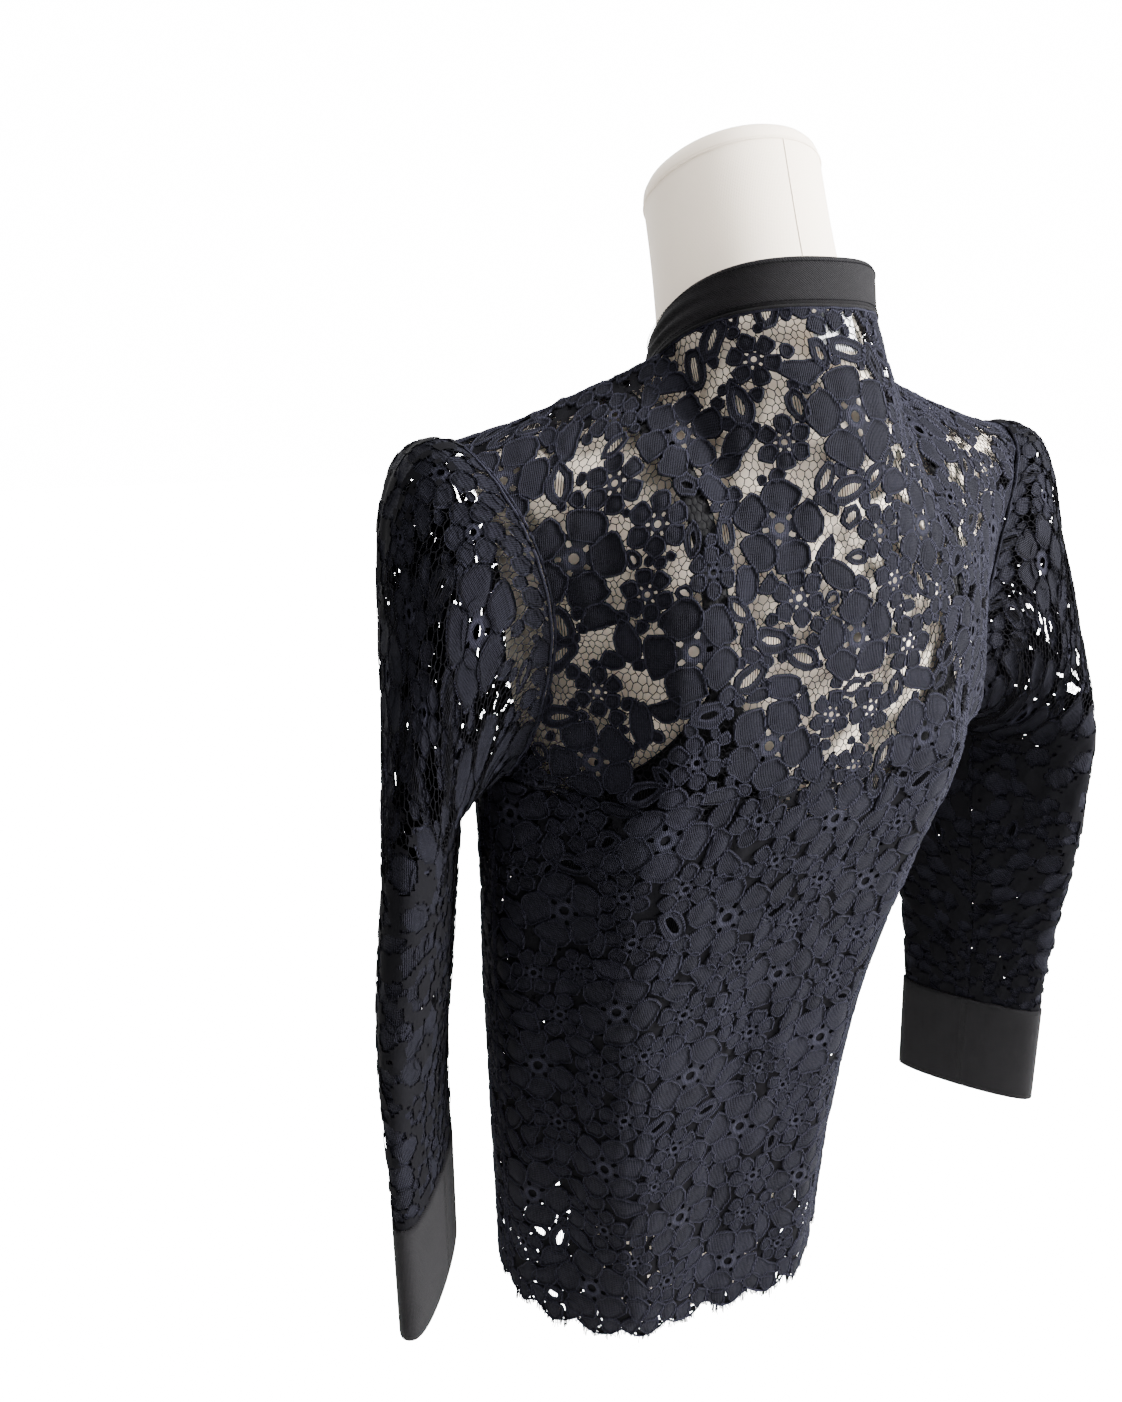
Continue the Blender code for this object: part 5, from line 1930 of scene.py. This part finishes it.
@dataclass
class Bands:
    """The twill collar and cuffs."""

    wardrobe: Wardrobe
    collar_length: float = 0.43
    collar_height: float = 0.0245
    collar_lean: float = 0.003
    collar_columns: int = 32 * FINER
    collar_rows: int = 30
    collar_gap: float = 0.8 * MM
    fold_place: float = 0.24
    fold_spread: float = 0.10
    fold_depth: float = 0.75 * MM
    piping_radius: float = 0.9 * MM
    cuff_rows: int = 24
    cuff_columns: int = 16 * FINER
    stitch_pitch: float = 2.6 * MM
    stitch_radius: float = 0.26 * MM
    stitch_lift: float = 0.05 * MM

    def neck_ring(self, height_above: float, inset: float) -> np.ndarray:
        """The neckline as a closed ring from the centre front round by the left side.

        Args:
            height_above: How far it is raised.
            inset: How far it is drawn in.

        Returns:
            The ring's points, the first repeated at the end.
        """
        back, front = LACE_BODY.top_edge(Side.BACK), LACE_BODY.top_edge(Side.FRONT)
        first = (PANEL_COLUMNS - NECK_COLUMNS) // 2
        last = first + NECK_COLUMNS
        middle = (first + last) // 2
        round_all = [front[middle:last], back[first : last + 1][::-1], front[first + 1 : middle + 1]]
        ring = even_steps(np.concatenate(round_all), self.collar_columns)
        outward = ring * (1, 1, 0)
        outward /= np.linalg.norm(outward, axis=1, keepdims=True)
        return ring - outward * inset + np.array((0, 0, height_above))

    def build(self) -> None:
        """Build the collar, its button and both cuffs."""
        self.build_collar()
        for hand in Hand:
            self.build_cuff(hand)
        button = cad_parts["collar_button"]
        button.data.materials.clear()
        button.data.materials.append(self.wardrobe.button)
        LOG.info("collar button: new finish")

    def build_collar(self) -> None:
        """The stand collar with its topstitching."""
        lift = SEAM_GAP + 0.2 * MM
        shares = np.linspace(0, 1, self.collar_rows)
        rows = [self.neck_ring(lift + self.collar_height * u, self.collar_lean * u) for u in shares]
        grid = np.array(rows)
        grid[:, 0] += (self.collar_gap / 2, 0, 0)
        grid[:, -1] -= (self.collar_gap / 2, 0, 0)
        normals = grid_normals(grid, 1)
        around = np.linspace(0, 1, grid.shape[1])[None, :]
        fade = np.exp(-(((around - self.fold_place) / self.fold_spread) ** 2)) + 0.15
        slant = shares[:, None] * 3.0 + around * 4.0
        folds = np.sin(2 * np.pi * slant) * np.sin(np.pi * shares)[:, None] * fade
        grid -= normals * (self.fold_depth * (1 - folds) * fade)[..., None]
        square = np.sqrt(np.clip(1 - (2 * shares - 1) ** 10, 0, 1))
        round_edge = BAND_WALL * 0.5 * (1 - square)[:, None, None]
        maker = MeshMaker()
        add_wall(maker, grid - normals * round_edge, grid - normals * (BAND_WALL - round_edge), False, 1)
        add_tube(maker, self.neck_ring(0.1 * MM, -0.1 * MM), self.piping_radius, 6)
        collar = maker.piece("collar_band", self.wardrobe.twill)
        stitches = MeshMaker()
        for u in (0.10, 0.90):
            line = self.neck_ring(lift + self.collar_height * u, self.collar_lean * u)
            self.stitch(stitches, line)
        thread = stitches.piece("collar_stitching", self.wardrobe.net)
        declare([collar, thread], ("collar",))

    def stitch(self, maker: MeshMaker, line: np.ndarray) -> None:
        """A row of stitches along a line.

        Args:
            maker: Where it goes.
            line: The line on the cloth.
        """
        length = np.linalg.norm(np.diff(line, axis=0), axis=1).sum()
        count = int(length / self.stitch_pitch)
        points = even_steps(line, count * 3)
        outward = points * (1, 1, 0) - points.mean(axis=0) * (1, 1, 0)
        outward /= np.linalg.norm(outward, axis=1, keepdims=True)
        points = points + outward * self.stitch_lift
        for k in range(count):
            add_tube(maker, points[3 * k : 3 * k + 3], self.stitch_radius, 5)

    def build_cuff(self, hand: Hand) -> None:
        """A deep flat cuff with its topstitching.

        Args:
            hand: Left or right.
        """
        word = hand.word
        top = SLEEVE_RINGS[-1]
        rings = []
        for u in np.linspace(0, 1, self.cuff_rows):
            sizes = np.array(top.sizes()) * (1 - u) + np.array(CUFF_BOTTOM.sizes()) * u
            height = (top.height - SEAM_GAP) * (1 - u) + CUFF_BOTTOM.height * u
            rings.append(flat_ring(sizes, height, self.cuff_columns))
        cuff = np.array(rings) * (hand.value, 1, 1)
        closed = np.concatenate([cuff[:, -1:], cuff, cuff[:, :1]], axis=1)
        normals = grid_normals(closed, -hand.value)[:, 1:-1]
        maker = MeshMaker()
        add_wall(maker, cuff, cuff - normals * BAND_WALL, True, -hand.value)
        piece = maker.piece(f"cuff_{word}_band", self.wardrobe.twill)
        stitches = MeshMaker()
        for row in (1, self.cuff_rows - 2):
            self.stitch(stitches, np.concatenate([cuff[row], cuff[row, :1]]))
        thread = stitches.piece(f"cuff_{word}_stitching", self.wardrobe.net)
        declare([piece, thread], (f"cuff_{word}",))


@dataclass
class DressForm:
    """The jersey-covered form: torso, neck and neck cap."""

    wardrobe: Wardrobe
    neck_rows: int = 6 * FINER
    armhole_columns: int = 8
    neck_lean: float = math.radians(19)
    neck_top_radius: float = 0.053
    cap_tilt: float = math.radians(24)
    neck_length: float = 0.106
    cap_height: float = 0.016
    cap_seam_radius: float = 0.7 * MM
    back_seam_radius: float = 0.5 * MM

    def neck_ring(self, u: float, ring: np.ndarray) -> np.ndarray:
        """A ring of the neck.

        Args:
            u: Share of the neck's length above the neckline.
            ring: The ring at the neckline.

        Returns:
            The ring's points.
        """
        sway = self.neck_length * u
        shift = np.array((0, -math.sin(self.neck_lean) * sway, math.cos(self.neck_lean) * sway))
        middle = np.array((0.0, 0.0, FORM_YOKE.neck_height)) + shift
        angle = np.arctan2(ring[:, 1], ring[:, 0])
        tilt = self.cap_tilt * u
        x = self.neck_top_radius * np.cos(angle)
        y = self.neck_top_radius * np.sin(angle)
        top = middle + np.stack([x, y * math.cos(tilt), y * math.sin(tilt)], axis=1)
        blend = 1 - (1 - u) ** 2.2
        return (ring + shift) * (1 - blend) + top * blend

    def build(self) -> dict[Side, np.ndarray]:
        """Build the form.

        Returns:
            The torso's outer grids.
        """
        grids = {side: FORM_BODY.surface(side) for side in Side}
        neck = self.neck_rings(grids)
        torso = self.build_torso(grids, neck)
        cap = self.build_cap(neck[-1])
        seam = self.build_seams(neck)
        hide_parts("form_body")
        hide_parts("form_neck_cap")
        for piece in (torso, cap, seam):
            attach(piece, BODY)
            LOG.info("%s: %d faces", piece.name, len(piece.data.polygons))
        return grids

    def neck_rings(self, grids: dict[Side, np.ndarray]) -> np.ndarray:
        """The neck's rings, from the neckline up.

        Args:
            grids: The torso's outer grids.

        Returns:
            The rings.
        """
        first = (FORM_BODY.columns - FORM_BODY.neck_columns) // 2
        last = first + FORM_BODY.neck_columns
        front, back = grids[Side.FRONT][-1], grids[Side.BACK][-1]
        ring = np.concatenate([front[first : last + 1], back[first + 1 : last][::-1]])
        return np.array([self.neck_ring(u, ring) for u in np.linspace(0, 1, self.neck_rows + 1)])

    def build_torso(self, grids: dict[Side, np.ndarray], neck: np.ndarray) -> bpy.types.Object:
        """The torso with its neck, its closed armholes and its base.

        Args:
            grids: The torso's outer grids.
            neck: The neck's rings.

        Returns:
            The torso.
        """
        maker = MeshMaker()
        for side in Side:
            add_grid(maker, grids[side], -side.value)
        shares = np.linspace(0, 1, self.armhole_columns + 1)
        for column, turn in ((0, 1), (-1, -1)):
            back, front = (grids[side][FORM_BODY.rows_to_underarm :, column] for side in Side)
            add_grid(maker, np.stack([back + (front - back) * u for u in shares], axis=1), turn)
        base = np.concatenate([grids[Side.FRONT][0], grids[Side.BACK][0, 1:-1][::-1]])
        maker.add(base, np.array([np.arange(len(base))[::-1]]))
        add_grid(maker, np.concatenate([neck, neck[:, :1]], axis=1))
        torso = maker.piece("form_jersey", self.wardrobe.jersey)
        self.weld(torso)
        return torso

    def build_seams(self, neck: np.ndarray) -> bpy.types.Object:
        """The seams round the cap and down the back of the neck.

        Args:
            neck: The neck's rings.

        Returns:
            The seams.
        """
        maker = MeshMaker()
        add_tube(maker, neck[-1], self.cap_seam_radius, 6, True)
        middle_back = FORM_BODY.neck_columns * 3 // 2
        add_tube(maker, neck[:, middle_back], self.back_seam_radius, 6)
        return maker.piece("form_seams", self.wardrobe.jersey)

    def weld(self, piece: bpy.types.Object) -> None:
        """Join the points that lie together."""
        join = piece.modifiers.new("weld", "WELD")
        join.merge_threshold = 0.05 * MM

    def build_cap(self, top: np.ndarray) -> bpy.types.Object:
        """The padded cap on the neck.

        Args:
            top: The neck's last ring.

        Returns:
            The cap.
        """
        middle = top.mean(axis=0)
        axis = np.array((0, -math.sin(self.cap_tilt), math.cos(self.cap_tilt)))
        heights = [0.0, 0.10, 0.25, 0.42, 0.60, 0.76, 0.88, 0.95, 0.985, 1.0, 1.0]
        shares = [1.0, 1.0, 0.995, 0.98, 0.94, 0.87, 0.77, 0.62, 0.44, 0.22, 0.0]
        rings = [
            middle + (top - middle) * share + axis * (SEAM_GAP + self.cap_height * rise)
            for share, rise in zip(shares, heights)
        ]
        grid = np.array(rings)
        maker = MeshMaker()
        add_grid(maker, np.concatenate([grid, grid[:, :1]], axis=1))
        maker.add(top + axis * SEAM_GAP, np.array([np.arange(len(top))[::-1]]))
        cap = maker.piece("form_cap", self.wardrobe.jersey)
        self.weld(cap)
        return cap


@dataclass
class Lining:
    """The camisole lining with its straps, and the blank label.

    Its form and lace are the outer grids of the torso and of the lace body.
    """

    wardrobe: Wardrobe
    form: dict[Side, np.ndarray]
    lace: dict[Side, np.ndarray]
    bottom: float = 0.078
    vertex: float = 0.374
    strap_point: float = 0.510
    side: float = 0.405
    rows: int = 40
    clearance: float = 0.0038
    strap_across: float = 0.50
    strap_across_shoulder: float = 0.60
    strap_width: float = 0.016
    strap_wall: float = 0.0010
    strap_clearance: float = 0.0015
    label_width: float = 0.030
    label_height: float = 0.022
    label_drop: float = 0.003
    label_clearance: float = 0.0008
    label_wall: float = 0.0006

    def top(self, across: float) -> float:
        """Height of the upper edge at a share of the way to the side seam."""
        away = abs(across)
        if away < self.strap_across:
            return self.vertex + (self.strap_point - self.vertex) * (away / self.strap_across) ** 1.15
        u = (away - self.strap_across) / (1 - self.strap_across)
        return self.strap_point + (self.side - self.strap_point) * u**0.6

    def build(self) -> None:
        """Build the lining, its straps and the label."""
        self.build_camisole()
        for hand in Hand:
            self.build_strap(hand)
        self.build_label()

    def build_camisole(self) -> None:
        """The lining itself, a little off the form."""
        form = self.form
        sides = {}
        for side in Side:
            skin = form[side] + grid_normals(form[side], -side.value) * (self.clearance + LINING_WALL)
            count = skin.shape[1]
            grid = np.zeros((self.rows + 1, count, 3))
            for j in range(count):
                wanted = np.linspace(self.bottom, self.top(2 * j / (count - 1) - 1), self.rows + 1)
                for axis in range(3):
                    grid[:, j, axis] = np.interp(wanted, skin[:, j, 2], skin[:, j, axis])
            sides[side] = grid
        ring = np.concatenate([sides[Side.FRONT], sides[Side.BACK][:, 1:-1][:, ::-1]], axis=1)
        closed = np.concatenate([ring[:, -1:], ring, ring[:, :1]], axis=1)
        normals = grid_normals(closed, 1)[:, 1:-1]
        maker = MeshMaker()
        add_wall(maker, ring, ring - normals * LINING_WALL, True, 1)
        piece = maker.piece("lining_cloth", self.wardrobe.lining)
        declare([piece], ("lining",))

    def build_strap(self, hand: Hand) -> None:
        """A strap over the shoulder between the form and the lace.

        Args:
            hand: Left or right.
        """
        first_row = ROWS_TO_UNDERARM + ROWS_TO_CHEST
        rows = np.arange(first_row, first_row + ROWS_TO_SHOULDER + 1)
        layers = []
        for depth in (0.0, self.strap_wall):
            halves = []
            for side in Side:
                grid = self.lace[side]
                normals = grid_normals(grid, -side.value)
                normals[-1, :, 1] = 0.0
                normals /= np.linalg.norm(normals, axis=2, keepdims=True)
                columns = []
                for k, i in enumerate(rows):
                    step = (self.strap_across_shoulder - self.strap_across) * k / (len(rows) - 1)
                    middle = (1 + hand.value * (self.strap_across + step)) / 2 * PANEL_COLUMNS
                    spacing = np.linalg.norm(grid[i, int(middle) + 1] - grid[i, int(middle)])
                    columns.append(middle + np.linspace(-1, 1, 7) * self.strap_width / spacing / 2)
                under = LACE_WALL + self.strap_clearance + depth
                across = np.array(columns)
                up = np.broadcast_to(rows[:, None], across.shape)
                halves.append(sampled(grid - normals * under, up, across))
            layers.append(np.concatenate([halves[0], halves[1][::-1][1:]]))
        maker = MeshMaker()
        add_wall(maker, layers[0], layers[1], False, -1)
        piece = maker.piece(f"strap_{hand.word}_tape", self.wardrobe.lining)
        declare([piece], (f"strap_{hand.word}",))

    def build_label(self) -> None:
        """The blank label inside the back of the neck."""
        grid = self.lace[Side.BACK]
        normals = grid_normals(grid, -1)
        last = len(grid) - 1
        middle = PANEL_COLUMNS // 2
        row_height = np.linalg.norm(grid[-1, middle] - grid[-2, middle])
        column_width = np.linalg.norm(grid[-1, middle + 1] - grid[-1, middle])
        low = last - (self.label_height + self.label_drop) / row_height
        rows = np.linspace(low, last - self.label_drop / row_height, 12)
        columns = middle + np.linspace(-1, 1, 14) * self.label_width / column_width / 2
        across, up = np.meshgrid(columns, rows)
        depth = LACE_WALL + self.label_clearance
        outer = sampled(grid - normals * depth, up, across)
        inner = sampled(grid - normals * (depth + self.label_wall), up, across)
        maker = MeshMaker()
        add_wall(maker, outer, inner, False, -1)
        piece = maker.piece("label_tape", self.wardrobe.label)
        declare([piece], ("label",))


@dataclass(frozen=True)
class Lamp:
    """A soft square light: where it stands, what it looks at, its side and its power in watts."""

    name: str
    place: tuple[float, float, float]
    target: tuple[float, float, float]
    size: float
    power: float


@dataclass
class Studio:
    """Pale paper, soft light and the camera."""

    wardrobe: Wardrobe
    lamps: tuple[Lamp, ...] = (
        Lamp("key", (-1.20, 1.00, 1.15), (0.0, 0.05, 0.42), 0.7, 225.0),
        Lamp("top", (0.1, 0.3, 1.9), (0.0, 0.0, 0.5), 1.0, 40.0),
        Lamp("front", (0.2, -1.6, 1.1), (0.0, 0.0, 0.4), 1.2, 34.0),
    )
    sky_strength: float = 0.42
    backdrop_strength: float = 20.0
    paper_reach: float = 6.0
    sensor: float = 36.0
    camera_place: tuple = (0.417, 0.574, 0.665)
    heading: float = math.atan2(-0.574, -0.417) + math.radians(9.5)
    pitch: float = math.radians(17)
    focal_px: float = 1123.0
    long_side_px: float = 1402.0

    def build(self) -> None:
        """Build the floor, the light and the camera."""
        self.build_floor()
        for lamp in self.lamps:
            self.add_light(lamp)
        self.build_sky()
        self.build_camera()

    def build_sky(self) -> None:
        """The world: soft light all round, which the camera sees as white paper."""
        world = bpy.data.worlds.new("studio")
        world.use_nodes = True
        tree = world.node_tree
        sky = tree.nodes["Background"]
        sky.inputs["Color"].default_value = rgba(1.0, 1.0, 1.0)
        sky.inputs["Strength"].default_value = self.sky_strength
        backdrop = tree.nodes.new("ShaderNodeBackground")
        backdrop.inputs["Strength"].default_value = self.backdrop_strength
        seen = tree.nodes.new("ShaderNodeLightPath")
        mix = tree.nodes.new("ShaderNodeMixShader")
        tree.links.new(seen.outputs["Is Camera Ray"], mix.inputs[0])
        tree.links.new(sky.outputs[0], mix.inputs[1])
        tree.links.new(backdrop.outputs[0], mix.inputs[2])
        tree.links.new(mix.outputs[0], tree.nodes["World Output"].inputs["Surface"])
        bpy.context.scene.world = world

    def build_floor(self) -> None:
        """A wide sheet of pale paper under the form."""
        maker = MeshMaker()
        corners = np.array([(-1, -1, 0), (1, -1, 0), (1, 1, 0), (-1, 1, 0)]) * self.paper_reach
        maker.add(corners - (0, 0, 0.5 * MM), np.array([[0, 1, 2, 3]]))
        maker.piece("studio_floor", self.wardrobe.floor, False)

    def add_light(self, lamp: Lamp) -> None:
        """Add a soft square light.

        Args:
            lamp: Its values.
        """
        data = bpy.data.lights.new(lamp.name, "AREA")
        data.size = lamp.size
        data.energy = lamp.power
        light = bpy.data.objects.new(lamp.name, data)
        light.location = lamp.place
        way = Vector(lamp.target) - Vector(lamp.place)
        light.rotation_euler = way.to_track_quat("-Z", "Y").to_euler()
        bpy.context.scene.collection.objects.link(light)

    def build_camera(self) -> None:
        """The camera, where the photograph was taken from."""
        data = bpy.data.cameras.new("camera")
        data.sensor_fit = "AUTO"
        data.sensor_width = self.sensor
        data.lens = self.sensor * self.focal_px / self.long_side_px
        camera = bpy.data.objects.new("camera", data)
        forward = Vector((
            math.cos(self.heading) * math.cos(self.pitch),
            math.sin(self.heading) * math.cos(self.pitch),
            -math.sin(self.pitch),
        ))
        right = forward.cross(Vector((0, 0, 1))).normalized()
        up = right.cross(forward)
        turn = Matrix((right, up, -forward)).transposed()
        camera.matrix_world = Matrix.Translation(self.camera_place) @ turn.to_4x4()
        bpy.context.scene.collection.objects.link(camera)
        bpy.context.scene.camera = camera


def main() -> None:
    """Build the form and the blouse on it."""
    logging.basicConfig(level=logging.INFO, format="%(name)s %(message)s")
    wardrobe = Wardrobe()
    form = DressForm(wardrobe).build()
    lace = Blouse(wardrobe).build()
    Bands(wardrobe).build()
    Lining(wardrobe, form, lace).build()
    Studio(wardrobe).build()


if __name__ == "__main__":
    main()
